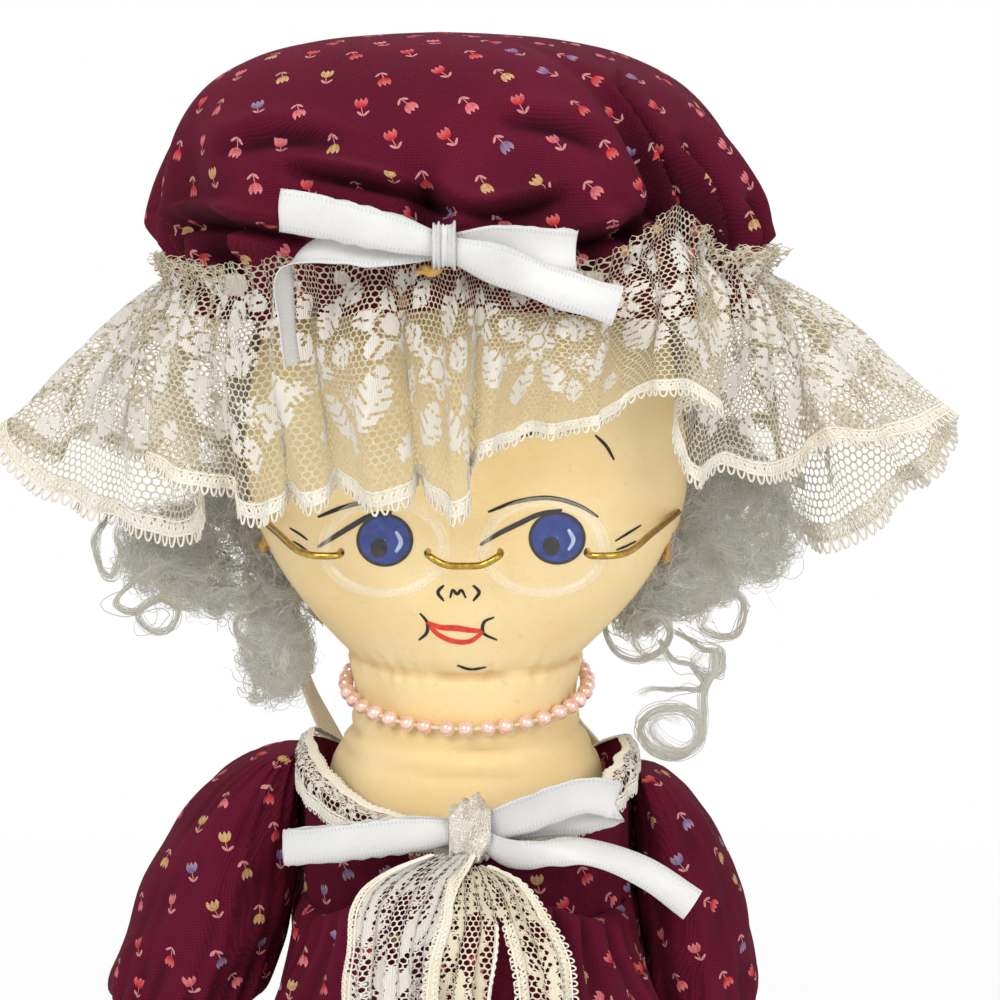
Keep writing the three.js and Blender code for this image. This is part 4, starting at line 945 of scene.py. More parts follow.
def edging(length, edge, surface, pitch, loop, thread=0.24, closed=False):
    """Braid of two crossing cords between two straight ones along an edge, with a row of loops beyond it."""
    u = np.linspace(0, length, int(length / 0.55), endpoint=not closed)
    level = np.full_like(u, edge)
    parts = []
    for phase in (0, math.pi):
        parts.append(tubes(surface(u, level - 1.5 + np.sin(TURN * u / 2.6 + phase)), 0.34, 4, closed))
    for inward in (3.0, 0.0):
        parts.append(tubes(surface(u, level - inward), 0.3, 4, closed))
    centres = (np.arange(int(length / pitch)) + 0.5) * pitch
    a = np.linspace(-0.15, 1.15, 8) * math.pi
    u, v = np.broadcast_arrays(centres[:, None] - 0.36 * pitch * np.cos(a), edge + loop * np.sin(a))
    parts.append(tubes(surface(u.ravel(), v.ravel()).reshape(*u.shape, 3), thread, 3))
    return join(parts)


def lace_piece(name, made, paint, body, replaces=()):
    points, faces, corners = made
    return piece(name, points, faces, paint, body, "lace", replaces, {"cloth": corners})


def petals(u, v, cx, cy, radius, lobes, turn=0.0):
    """1 inside a flower with an open ring round its eye."""
    r, a = np.hypot(u - cx, v - cy), np.arctan2(v - cy, u - cx) + turn
    inside = r < radius * (0.74 + 0.26 * np.cos(lobes * a))
    eye = (r > 0.3 * radius) & (r < 0.43 * radius)
    split = (np.abs(np.sin(lobes * a / 2)) < 0.13) & (r > 0.45 * radius)
    return np.where(inside & ~eye & ~split, 1.0, 0.0)


def feather(u, v, x0, y0, x1, y1, wide):
    """1 inside a leaf of combed threads."""
    length = math.hypot(x1 - x0, y1 - y0)
    a = ((u - x0) * (x1 - x0) + (v - y0) * (y1 - y0)) / length
    b = (-(u - x0) * (y1 - y0) + (v - y0) * (x1 - x0)) / length
    b = np.abs(b + 0.12 * wide * np.sin(math.pi * a / length))
    inside = (a > 0) & (a < length) & (b < wide * np.sin(math.pi * np.clip(a / length, 0, 1)) ** 0.7)
    comb = ((a + 0.6 * b) % 3.1 < 0.8) & (b > 0.5)
    return np.where(inside & ~comb, 1.0, 0.0)


# Flowers of the wide lace: place along one repeat, place across, radius and turn
ROSES = [
    (0.25, 19, 10.0, 0.4), (0.72, 30, 7.6, 1.1), (0.0, 37, 4.2, 0.0), (0.5, 34, 3.8, 0.0), (0.5, 5, 3.6, 0.0),
]
# Its leaves: both ends and half width
LEAVES = [
    (0.44, 20, 0.62, 27, 4.2), (0.86, 27, 1.06, 23, 4.2), (0.2, 29, 0.07, 45, 3.8),
    (0.34, 28, 0.46, 43, 3.8), (0.7, 38, 0.6, 50, 3.4), (0.79, 37, 0.92, 48, 3.4), (0.54, 15, 0.66, 8, 3.6),
    (0.8, 21, 0.92, 8, 3.8), (0.08, 12, -0.06, 5, 3.4), (0.36, 10, 0.42, 2, 3.2), (0.3, 47, 0.24, 53, 2.4),
    (0.97, 43, 1.0, 52, 2.4),
]


def rose_pattern(period, width):
    def dense(u, v):
        made = (v > width - 3.6) & ((v > width - 1.2) | (u % 2.4 < 1.5))
        for shift in (-period, 0, period):
            x = u % period + shift
            for along, across, radius, turn in ROSES:
                made = made | (petals(x, v, along * period, across, radius, 5, turn) > 0.5)
            for a, b, c, d, wide in LEAVES:
                made = made | (feather(x, v, a * period, b, c * period, d, wide) > 0.5)
        return np.where(made, 1.0, 0.0)
    return dense


# Free edge of the cap lace in front: place in the picture and depth, from the left tip to the right one
FRILL_SEEN = [
    (-4, 428, 2), (20, 470, -4), (62, 495, -9), (104, 512, -12), (140, 527, -16), (178, 536, -22),
    (205, 520, -30), (186, 484, -36), (151, 462, -42), (170, 478, -50), (212, 487, -50), (232, 489, -46),
    (249, 517, -54), (270, 513, -60), (290, 495, -54), (309, 506, -60), (324, 500, -60), (338, 479, -53),
    (352, 490, -58), (376, 506, -66), (404, 498, -64), (423, 478, -55), (436, 500, -60), (454, 516, -68),
    (468, 506, -66), (471, 466, -58), (490, 449, -64), (512, 441, -58), (530, 431, -60), (552, 434, -67),
    (578, 427, -62), (600, 424, -66), (620, 405, -56), (640, 392, -58), (662, 389, -64), (690, 390, -62),
    (722, 412, -56), (710, 402, -48), (676, 412, -44), (678, 450, -42), (698, 480, -44), (722, 463, -34),
    (754, 474, -36), (786, 471, -28), (812, 450, -20), (836, 437, -20), (862, 441, -18), (890, 436, -10),
    (920, 429, -8), (951, 411, 2), (944, 446, 12), (924, 474, 8), (902, 484, 16), (880, 515, 10),
    (836, 540, 10), (800, 533, 18),
]
# The same edge behind, in millimetres
FRILL_BEHIND = [
    (82, 30, 40), (78, 40, 50), (64, 40, 44), (54, 52, 51), (40, 46, 45), (28, 57, 52), (14, 49, 46),
    (0, 57, 52), (-14, 49, 46), (-28, 57, 52), (-40, 46, 45), (-54, 52, 51), (-64, 40, 44), (-78, 40, 50),
    (-84, 26, 44), (-100, 22, 50), (-104, 10, 46),
]


def frill_surface(count=3000):
    hem = line([*(seen(*p) for p in FRILL_SEEN), *FRILL_BEHIND], count, True)
    turn = ring(count)
    trend = np.unwrap(np.arctan2(hem[:, 0], -hem[:, 1])) - turn
    near = bell(np.arange(-150, 151), 55)
    trend = np.convolve(np.concatenate([trend[-150:], trend, trend[:150]]), near / near.sum(), "valid")
    around = np.maximum.accumulate(trend + turn)
    flow = unit(np.roll(hem, -3, 0) - np.roll(hem, 3, 0))
    hem = hem + np.cross(flow, (0.0, 0.0, 1.0)) * waves(turn, 40, 70, 31)[:, None] * 0.9
    arc = travel(np.concatenate([hem, hem[:1]]))
    small, medium = waves(turn, 70, 130, 32) * 1.5, waves(turn, 24, 46, 33) * 1.9
    hump = 12 * bell(around - 0.72, 0.2) + 3.5 * bell(around - 1.3, 0.25) + waves(turn, 12, 40, 34) * 1.1
    x, y = oval(around, 0.935 * CAP_HALF, 0.935 * CAP_FRONT, 0.935 * CAP_BACK)
    behind = 2.6 * np.maximum(-np.cos(around), 0)
    top = np.stack([x, y + behind, gather_level(around) - 0.8 + hump], -1)
    out = np.stack([np.sin(around), -np.cos(around), 0 * around], -1)
    middle = (hem * out).sum(1, keepdims=True) * out
    bulge = 2.5 + 3.5 * np.maximum(np.cos(around), 0) + 0.3 * np.maximum(hump, 0)
    table = np.concatenate([hem, top, out, np.stack([small, medium, bulge], -1), middle], 1)
    table = np.concatenate([table, table[:1]])
    length = arc[-1]

    def surface(u, v):
        got = np.stack([np.interp(u % length, arc, table[:, k]) for k in range(table.shape[1])], -1)
        hem, top, out, small, medium, bulge, middle = np.split(got, (3, 6, 9, 10, 11, 12), 1)
        t = (v - HEADING)[:, None] / (FRILL - HEADING)
        down = np.maximum(t, 0)
        p = top + (hem - top) * down
        p[:, :2] += (hem - middle)[:, :2] * (down**0.7 - down)
        p[:, 2:] = top[:, 2:] + (hem - top)[:, 2:] * down**1.08
        belly = np.sin(math.pi * np.minimum(down, 1))
        p += out * bulge * belly * np.maximum(1 - down, 0)
        up = np.maximum(-t, 0) * (FRILL - HEADING)
        p[:, 2:] += up * 0.88
        p += out * (up * 0.32 + small * np.clip(1 - down * 1.6, 0, 1) * (0.4 + 1.6 * down + 0.1 * up))
        p += out * medium * belly**0.7
        return p
    return surface, length


frill, frill_length = frill_surface()
roses = rose_pattern(frill_length / round(frill_length / 50), FRILL)
cells = net(frill_length, FRILL - 0.6, 1.8, open_cells, frill, True, 0.2)
cap_net = lace_piece("cap_net", cells, LACE, "head", ("cap_lace",))
cells = figures(frill_length, FRILL, 0.85, roses, frill)
cap_roses = lace_piece("cap_roses", cells, WORKED, "head")
edge = edging(frill_length, FRILL, frill, 2.5, 2.3, 0.36, True)
cap_braid = piece("cap_braid", *edge, BRAID, "head", "lace")


# Ribbons, each one strip tied into a bow: places from its middle, and the way across, longer where wider
def ribbon(name, body, node, bow, centre, steps=260):
    path = line(bow, steps)
    at, side = path[:, :3] + centre, path[:, 3:6]
    along = unit(np.gradient(at, axis=0))
    wide = np.linalg.norm(side, axis=1, keepdims=True)
    edge = unit(side - along * (side * along).sum(1, keepdims=True))
    side = edge * wide * RIBBON / 2
    normal = unit(np.cross(along, side))
    arc = travel(at)
    across = np.linspace(-1, 1, 11)
    cup = (1 - across**2) * 0.6
    picot = edge * 0.22 * np.sin(TURN * arc / 0.9)[:, None]
    grid = at[:, None] + side[:, None] * across[None, :, None] + normal[:, None] * cup[None, :, None]
    grid[:, 0] -= picot
    grid[:, -1] += picot
    points, faces, cloth = strip(grid, normal, 0.14, arc, across)
    piece(name, points, faces, SATIN, body, "ribbon", (node,), {"cloth": cloth})


CAP_BOW = np.array((-4.1, -63.95, 105.5))
CAP_BOW_LINE = [
    (-34.5, -1, -27, 0.32, 0.9, 0), (-35.5, -1.2, -17, 0.3, 0.9, 0.1), (-35.5, -0.5, -6, 0.42, 0.85, 0.2),
    (-29, 1, -1.5, 0.1, 0.8, 0.5), (-14, 1.9, -2, 0, 0.5, 0.6), (0, 1.6, -0.3, 0, 0, 0.55),
    (14, 2.2, 0, 0, 0, 0.9), (26, 2.6, -1, 0, 0, 1), (30, 0.6, -1.4, 0, 0, 1), (26, -1.4, -1, 0, 0, 1),
    (12, -1, 0.4, 0, 0, 0.9), (0, 0, 0, 0, 0, 0.6), (-12, 0.2, 3, 0, 0, 0.9), (-30, 0, 7, 0, 0, 1),
    (-36.4, -1.6, 8.1, 0, 0, 1), (-30, -3.2, 7.2, 0, 0, 1), (-12, -2.8, 3, 0, 0, 0.9),
    (0, -1.6, -0.2, 0, 0, 0.55), (12, -3, -4, 0.1, 0, 0.95), (25, -2.8, -9, 0.3, 0.2, 0.85),
    (39, -2.2, -13.4, 0.3, 0.1, 0.9),
]
CHEST_BOW = np.array((1.2, -41.6, -37.5))
CHEST_BOW_LINE = [
    (-9, 1, -4.6, 0.3, 0, 0.9), (0, 1.6, -0.3, 0, 0, 0.55), (13, 1.8, 2, 0, 0, 0.9),
    (29, 2.2, 4, 0, 0.2, 0.95), (35.5, 0.2, 7, 0, 0.2, 0.95), (29, -2, 9.5, 0, 0.1, 0.95),
    (12, -1.2, 4, 0, 0, 0.9), (0, 0, 0, 0, 0, 0.6), (-12, 0.2, -0.5, 0, 0, 0.9), (-36, 0, -3, 0, 0, 0.95),
    (-44.5, -1.6, -3.6, 0, 0, 0.95), (-36, -3.2, -2.6, 0, 0, 0.95), (-12, -2.8, 0, 0, 0, 0.9),
    (0, -1.6, -0.2, 0, 0, 0.55), (10, -3.2, -4.6, 0, 0, 0.7), (28, -3, -4.2, 0, 0.5, 0.6),
    (42, -2.4, -9.5, 0.2, 0.4, 0.7), (53.7, -1.5, -18, 0.4, 0.2, 0.75),
]
ribbon("cap_ribbon", "head", "cap_bow_ribbon", CAP_BOW_LINE, CAP_BOW)
ribbon("chest_ribbon", "doll", "chest_bow_ribbon", CHEST_BOW_LINE, CHEST_BOW)


def knot(name, centre, material, body, slot, node, seed, half, crush=0.0):
    """Wrap of gathered cloth round the crossing of a bow."""
    rows, columns = 22, 60
    s, t = np.meshgrid(np.linspace(-1, 1, rows), ring(columns), indexing="ij")
    pleat = 0.32 * waves(s * 2.4, 2, 9, seed) + 0.18 * np.cos(9 * s + 2 * t)
    pleat = pleat + crush * (waves(t + s, 3, 12, seed + 1) + 0.5 * waves(2 * s - t, 2, 8, seed + 2))
    waist = 1 - 0.12 * (1 - s**2) * (1 - 2.4 * crush) - 0.3 * crush * s**4 + 0.1 * s * np.cos(t)
    y = (half[1] + pleat) * waist * np.sign(np.cos(t)) * np.abs(np.cos(t)) ** 0.75
    z = (half[2] + pleat) * waist * np.sign(np.sin(t)) * np.abs(np.sin(t)) ** 0.75
    grid = np.stack([half[0] * s, y, z], -1) + centre
    cloth = grid_corners(t * 8, s * 3, True, TURN * 8)
    piece(name, grid.reshape(-1, 3), grid_faces(rows, columns, True), material, body, slot, (node,),
          {"cloth": cloth})


knot("cap_knot", CAP_BOW, SATIN, "head", "ribbon", "cap_bow_knot", 41, (2.6, 4.0, 5.4))
knot("chest_knot", CHEST_BOW, GATHERED, "doll", "lace", "chest_bow_knot", 42, (5.0, 5.0, 6.6), 0.75)


# Dress
def chest_oval(turn, grow):
    return oval(turn, CHEST_HALF + grow, BODICE_FRONT + grow, BODICE_BACK + grow, CHEST_SQUARE)


def neckline_level(turn):
    ahead = np.cos(turn)
    end = np.where(ahead > 0, NECKLINE_FRONT, NECKLINE_BACK)
    return NECKLINE_SIDE + (end - NECKLINE_SIDE) * ahead**2


def aside(turn):
    return np.abs(turn - TURN * (turn > math.pi))


def tuck(turn):
    """Cloth that stands out behind each arm, the same on bodice and skirt."""
    return 6.0 * bell(aside(turn) - 1.93, 0.15) * np.sign(np.sin(turn))


def bodice_grid(rows=26, columns=260):
    t, s = np.meshgrid(ring(columns), np.linspace(0, 1, rows))
    x, y = chest_oval(t, -1.2)
    top = neckline_level(t) + 0.8
    z = top + (WAIST - 2 - top) * s
    fold = waves(t, 14, 40, 51) * 0.5 * s - 0.5 * np.abs(np.sin(math.pi * s))
    grow = 1 + fold / np.hypot(x, y)
    return np.stack([x * grow + tuck(t) * ease((s - 0.12) * 2), y * grow, z], -1)


bodice = printed("bodice_cloth", bodice_grid(), "doll", "bodice", 6)

# Skirt: growth at the sides, in front and behind, drop from the waist, and lift in front
SKIRT = [
    (-1.2, 0.5, 0, 0, 0), (-0.6, 6.5, 4, 1.4, 7), (-0.2, 12, 8, 3.4, 16), (0, 20, 12, 7.4, 14),
    (0.3, 26, 16, 17.4, 6), (1.8, 29, 19, 35.4, 0), (8.3, 31, 22, 67.9, 0), (18.3, 32, 25, 107.8, 0),
    (24.3, 32, 26, 163.1, 0), (25.3, 30, 25, 227.9, 0), (18.3, 23, 20, 288, 0), (-0.7, 5, 4, 331.1, 0),
    (-17.2, -11.5, -10.5, 350, 0), (-2.7, 3, 4, 369, 0),
]
SKIRT_START, MOUTH_DROP = 0.6, 350
SLIT_LEVEL, SLIT_HALF, SLIT_WIDE = WAIST - 73, 45.0, 11.0


def skirt_grid(rows=150, columns=360):
    side, front, back, drop, lift = profile(SKIRT, rows, [1, 3])
    t = np.repeat(ring(columns)[None], rows, 0)
    square = np.minimum(1, CHEST_SQUARE + (1 - CHEST_SQUARE) * drop / 30)
    x, y = oval(t, CHEST_HALF + side, BODICE_FRONT + front, BODICE_BACK + back, square)
    z = WAIST - SKIRT_START - drop + lift * np.maximum(np.cos(t), 0) ** 3 * (1 - 0.25 * np.sin(t))
    big = 2.2 * np.cos(9 * t) * ease(drop / 130) + waves(t, 4, 10, 61) * 1.6 * ease(drop / 60)
    gathers = waves(t + 0.0006 * drop, 22, 44, 62) * 1.5 * np.exp(-drop / 45) * ease(drop / 6)
    hem = waves(t, 16, 30, 63) * 1.3 * ease((drop - 270) / 60) * (1 - 0.4 * ease((drop - 340) / 8))
    sag = 1.2 * np.cos(4 * t + drop / 40) * np.sin(drop / 33) * ease(drop / 90) * ease((330 - drop) / 60)
    fold = big * (1 - 0.55 * ease((drop - 300) / 45)) + gathers + hem + sag
    fold = np.where(drop > 345, np.clip(fold, -1.5, 2.2), fold)
    grow = 1 + fold / np.maximum(np.hypot(x, y), 1)
    lobe = 13 * bell(aside(t) - 0.9, 0.4) * ease((drop - 2) / 26) * ease((110 - drop) / 80)
    x = x * grow + lobe * np.sign(np.sin(t)) + tuck(t) * ease((60 - drop) / 40)
    # The second result is painted shade, darker where the folds go in.
    return np.stack([x, y * grow, z], -1), np.clip(-fold / 6, 0, 0.45)


def slit(grid, dark):
    """Opens the tube behind: the columns on both sides of the middle part and turn in."""
    order = (np.arange(grid.shape[1] + 1) + grid.shape[1] // 2) % grid.shape[1]
    grid, dark = grid[:, order], dark[:, order]
    share = np.clip(1 - ((grid[:, 0, 2] - SLIT_LEVEL) / SLIT_HALF) ** 2, 0, None) ** 0.5
    near = np.linspace(0, 1, len(order))
    for edge, sign in ((near, -1), (1 - near, 1)):
        pull = bell(edge, 0.035)[None] * share[:, None] * SLIT_WIDE
        grid[..., 0] += sign * pull
        grid[..., 1] -= 0.06 * pull
    return grid, dark


grid, dark = slit(*skirt_grid())
skirt = printed("skirt_cloth", grid, "doll", "skirt_bag", 7, closed=False, crease_shade=dark)

# Sleeves and arms: drop from the shoulder, way out from the chest, half width and half depth
SLEEVES = {
    "left": [
        (-0.6, -0.2, 0.3, 6), (0.2, 3.4, 3.8, 9), (5, 8.8, 9.2, 15), (13.5, 13.6, 13.6, 20),
        (27, 18.4, 18, 24), (40, 21.9, 20, 25), (52, 26, 20, 24), (62, 29.5, 19.2, 21.6),
        (CUFF, 31.2, 12, 12), (78, 33.8, 17, 17),
    ],
    "right": [
        (4.4, -0.2, 0.3, 6), (5.2, 2.6, 3.0, 9), (9.5, 5.9, 6.4, 14), (17, 9.3, 9.1, 18),
        (27, 12.3, 11.8, 22), (40, 15.2, 13.5, 23), (52, 16.6, 14, 22), (62, 17.9, 13.6, 19.6),
        (CUFF, 19.2, 11.2, 11.4), (78, 21, 16.2, 16.4),
    ],
}
WRISTS = {"left": (CUFF, 31.2, 8.6, 8.6), "right": (CUFF, 19.2, 7.8, 8)}
ARMS = {
    "left": [
        (12, 13.3, 4, 4), (17, 15.3, 9, 9), (40, 21.9, 9.6, 9.6), WRISTS["left"], (80, 34.3, 8, 6.6),
        (94, 37.3, 9.8, 6.8), (108, 40.3, 10, 6.4), (118, 42.3, 7.6, 5), (122, 42.9, 3.6, 2.6),
        (122.6, 43, 0.6, 0.5),
    ],
    "right": [
        (17, 9.9, 3, 4), (23, 11.3, 7, 8), (40, 14.8, 8.4, 9), WRISTS["right"], (80, 21.3, 8, 6.6),
        (94, 24.7, 9.6, 6.8), (108, 28.3, 9.8, 6.4), (118, 30.7, 7.6, 5), (122, 31.5, 3.6, 2.6),
        (122.6, 31.6, 0.6, 0.5),
    ],
}


def limb_grid(table, side, rows, columns, seed=None):
    """A limb down its table; a seed gives it a sleeve's folds, with painted shade where they go in."""
    drop, out, half, deep = profile(table, rows, [0, 2])
    t = np.repeat(ring(columns)[None], rows, 0)
    x, y = oval(t, half, deep, deep)
    fold = np.zeros_like(x)
    if seed is not None:
        top = drop - table[0][0]
        near_top = np.exp(-top / 12) * ease(top / 3)
        near_cuff = np.exp(-np.abs(drop - CUFF) / 11)
        fold = waves(t, 9, 26, seed) * (0.4 * near_top + 1.1 * near_cuff + 0.12)
        fold += 0.9 * np.cos(5 * t + top / 9) * np.sin(top / 7) * ease(top / 15) * ease((66 - drop) / 12)
        fold = np.where(np.abs(drop - CUFF) < 4, np.clip(fold, -0.5, 1.6), fold)
    grow = 1 + fold / np.maximum(np.hypot(x, y), 2)
    grid = np.stack([side * (CHEST_HALF + out) + x * grow, -ARM_LEAN * drop + y * grow,
                     np.broadcast_to(NECKLINE_SIDE - drop, x.shape)], -1)
    return grid, np.clip(-fold / 3, 0, 0.5)


for name, side in SIDES:
    grid, dark = limb_grid(SLEEVES[name], side, 66, 130, 71 + side)
    made = printed(f"{name}_sleeve_cloth", grid, None, f"{name}_sleeve", 9 + side, crease_shade=dark)
    top = NECKLINE_SIDE - SLEEVES[name][0][0]
    bend(made, (side * 44, 0, top + 0.5), (side * 51, 0, top - 14))
    grid, dark = limb_grid(ARMS[name], side, 70, 48)
    made = stuffed(f"{name}_arm_skin", grid, 57.6, f"{name}_arm", (f"{name}_arm",), dark)


# Lace round the neckline, and the two panels of the jabot
def neckline_surface():
    t = np.linspace(0, TURN, 1600)
    arc = travel(np.stack(chest_oval(t, 0.2), -1))
    length = arc[-1]

    def surface(u, v):
        turn = np.interp(u % length, arc, t)
        x, y = chest_oval(turn, 0.2)
        ahead = np.cos(turn)
        lean = np.where(ahead > 0, 3.4 + 6 * ahead * (1 - ahead) + 0.4 * ahead, 3.4 + 2.4 * ahead)
        inward = np.clip((8.5 - v) / 8.5, -0.1, 1.2)
        flare = 1 + (0.45 * waves(turn, 12, 30, 81) - lean * inward) / np.hypot(x, y)
        rise = 1.4 + 0.8 * np.sin(turn) ** 2 - np.where(ahead > 0, 0.8, 3.4) * ahead**2
        rise = rise - 2.6 * np.maximum(np.sin(turn), 0) ** 2
        z = neckline_level(turn) - np.maximum(v - 8.5, 0) + 1.2 + rise * np.maximum(inward, 0) ** 0.8
        return np.stack([x * flare, y * flare, z], -1)
    return surface, length


def band_pattern(u, v):
    """Flowers in a row between two plain borders."""
    made = np.maximum(petals(u % 11, v, 5.5, 0.5 * NECK_LACE, 4.8, 6), (v < 2.6) | (v > NECK_LACE - 2.6))
    for edge in (0, 11):
        made = np.maximum(made, petals(u % 11, v, edge, 0.4 * NECK_LACE, 3.4, 5))
    return made


neck, neck_length = neckline_surface()
cells = net(neck_length, NECK_LACE, 1.5, open_cells, neck, True, 0.18)
neck_net = lace_piece("neckline_net", cells, LACE, "doll", ("neckline_lace",))
cells = figures(neck_length, NECK_LACE, 0.75, band_pattern, neck)
neck_roses = lace_piece("neckline_roses", cells, WORKED, "doll")
neck_edges = [edging(neck_length, NECK_LACE + 0.1, neck, 1.7, 1.2, closed=True),
              edging(neck_length, 1.5, lambda u, v: neck(u, 1.5 - v), 1.7, 1.2, closed=True)]
neck_braid = piece("neckline_braid", *join(neck_edges), BRAID, "doll", "lace")

# Panels: height over the waist, way out from the bodice, and where the inner and the outer edge are
JABOT = {
    "left": [
        (20.5, 8.5, 2.5, -8), (18, 10.5, 1, -16), (15, 14, -1.5, -22.5), (11, 18.5, -3.5, -26),
        (6, 22.8, -5, -27.5), (0, 26, -6, -28), (-14, 29.5, -7, -28), (-36, 32, -7, -28),
        (-68, 34.5, -8, -28),
    ],
    "right": [
        (17.6, 8.5, -1, 6), (15.5, 12.5, -3.5, 12.5), (12.8, 16.5, -4.6, 16.5), (7.5, 22.5, -5.2, 20.5),
        (0, 27, -5.6, 22.8), (-14, 30, -6, 23.6), (-36, 32, -6, 24), (-74, 35, -6, 25),
    ],
}
PLEATS, PLEAT_DEEP, PLEAT_SEED, LEGS_FROM = 3.5, 2.1, 91, 15.0


def panel_surface(table, wide):
    table = np.array(table, float)
    s = travel(table[:, :2])

    def surface(u, v):
        rise, ahead, inner, outer = smooth(s, table, np.clip(v, 0, s[-1])).T
        over = np.maximum(v - s[-1], 0)
        share = u / wide
        grown = 0.3 + 0.7 * ease(v / 40)
        turn = TURN * PLEATS * share
        uneven = waves(share * 5 + v / 60, 2, 7, PLEAT_SEED)
        wave = PLEAT_DEEP * grown * 0.7 * (np.cos(turn + 0.9 * np.sin(v / 11)) + uneven)
        x = inner + (outer - inner) * share + 0.5 * PLEAT_DEEP * grown * np.sin(turn * 2)
        x = x + 1.3 * (share - 0.5) * grown * (np.sin(v / 5.5 + PLEAT_SEED) + 0.6 * np.sin(v / 2.9))
        y = -BODICE_FRONT - ahead - 0.6 - PLEAT_DEEP * 0.6 - wave * 0.75
        return np.stack([x, y, WAIST + rise - over], -1)
    return surface, s[-1]


def bars_pattern(wide, long, gap, rosette, bare):
    """Upright bars with rungs between them, a rosette of rings, and places where the net is left bare."""
    def dense(u, v):
        wavy = u + 1.6 * np.sin(v / 6.5) + 0.8 * np.sin(v / 2.7 + u / 5)
        bar = np.cos(TURN * wavy / gap + 0.8 * np.sin(v / 17)) > 0.25
        rung = ((v + 1.8 * np.sin(u / 3.3) + 0.9 * np.sin(u * 1.3 + v / 5)) % 2.6) < 0.9
        hole = np.sin(0.5 * u + 2 * np.sin(v / 9)) * np.sin(0.33 * v + 1.5 * np.sin(u / 4)) > 0.66
        made = (bar | rung) & ~hole
        for across, down, half_wide, half_long in bare:
            made = made & (np.hypot((u - across * wide) / half_wide, (v - down * long) / half_long) > 1)
        x, y = u - rosette[0] * wide, v - rosette[1] * long
        r = np.hypot(x, y)
        rings = (r % 3.0 < 1.3) | ((np.abs(np.sin(5 * np.arctan2(y, x))) < 0.32) & (r > 2))
        made = np.where(r < 9.5, rings, made)
        return np.where((u < 1.6) | (u > wide - 1.6), 1.0, made)
    return dense


def jabot(name, wide, paint, gap, rosette, bare, part):
    """One panel; part is the share of its width where its lower half opens into two legs."""
    whole, long = panel_surface(JABOT[name], wide)
    split = wide * part if part else 2 * wide

    def surface(u, v):
        p = whole(u, v)
        p[:, 0] += np.where(u > split, 1.6, -2.4) * 1.3 * ease((v - LEGS_FROM) / 22) * (split < wide)
        p[:, 1] -= np.where(u > split, 1.8, 0) * ease((v - LEGS_FROM) / 26)
        return p

    def parted(u, v):
        return (np.abs(u - split) < 1.0) & (v > LEGS_FROM)

    worked = bars_pattern(wide, long, gap, rosette, bare)
    cells = net(wide, long, 1.5, lambda u, v: np.where(parted(u, v), -1.0, 0.0), surface, False, 0.17)
    made = lace_piece(f"jabot_{name}_net", cells, paint, None, (f"jabot_{name}",))
    cells = figures(wide, long, 0.75, lambda u, v: worked(u, v) * ~parted(u, v), surface)
    bars = lace_piece(f"jabot_{name}_bars", cells, paint, None)
    edges = [edging(long, wide, lambda u, v: surface(v, u), 1.8, 1.1),
             edging(long, 0.0, lambda u, v: surface(-v, u), 1.8, 1.1)]
    start = LEGS_FROM + 2
    for sign in (1, -1) if part else ():
        def leg(u, v):
            return surface(split + sign * (v - 1.3), u + start)
        edges.append(edging(long - start, 0.0, leg, 1.8, 0.9))
    braid = piece(f"jabot_{name}_braid", *join(edges), BRAID, None, "lace")
    for hung in (made, bars, braid):
        bend(hung, (0, -46, -43), (0, -60, -58))


# Bare places: shares across and down, half width and half length
jabot("left", 44.0, WORKED, 5.2, (0.66, 0.52),
      [(0.5, 0.2, 4.6, 9), (0.3, 0.44, 4.5, 10), (0.86, 0.34, 2.6, 7), (0.4, 0.78, 5, 9)], None)
jabot("right", 52.0, IVORY, 3.4, (0.25, 0.85),
      [(0.3, 0.2, 4, 6), (0.47, 0.24, 2.6, 8), (0.8, 0.34, 2, 9), (0.2, 0.5, 3, 9)], 0.55)


# Spectacles: half sizes of a lens and its middle; its section as share of the radius and half thickness
LENS_HALF, LENS_HIGH, LENS_AT, LENS_Y, LENS_Z = 15.5, 12, 18.7, -50, 33.7
LENS_SECTION = [
    (0.02, 0.42), (0.4, 0.45), (0.8, 0.5), (0.855, 0.55), (0.88, 0.85), (0.91, 1.08), (0.955, 1.1),
    (0.99, 0.9), (1.0, 0.5),
]
HOLE_Z, WIRE_Y, HOOK_Y = 32.3, -52.35, -47.3
INNER, OUTER, WIRE_R = 8.5, 28.9, 0.85


def lens(name, side, columns=96):
    """Clear oval with a raised rim."""
    section = [(r, -y) for r, y in LENS_SECTION] + LENS_SECTION[::-1]
    r, y = np.array(section).T[:, :, None]
    t = ring(columns)
    grid = np.stack(np.broadcast_arrays(LENS_HALF * r * np.sin(t), y, LENS_HIGH * r * np.cos(t)), -1)
    points = grid.reshape(-1, 3) + (side * LENS_AT, LENS_Y, LENS_Z)
    faces = grid_faces(len(section), columns, True).tolist()
    faces += [list(range(columns)), list(range(len(points) - columns, len(points)))[::-1]]
    made = piece(name + "_lens_clear", points, faces, CLEAR, "glasses", "lens", (name + "_lens",))
    # Painted highlight: these values peak at both edges of the raised rim, where light glints.
    rim_highlight = np.interp(r, (0.8, 0.86, 0.885, 0.93, 0.965, 1.0), (0, 0.9, 0.8, 0.2, 0.3, 1))
    shade(made, "rim_highlight", np.repeat(rim_highlight, columns, 1))


def wire(name, node, places, steps):
    piece(name, *tubes(line(places, steps), WIRE_R, 14), BRASS, "glasses", "wire", (node,))


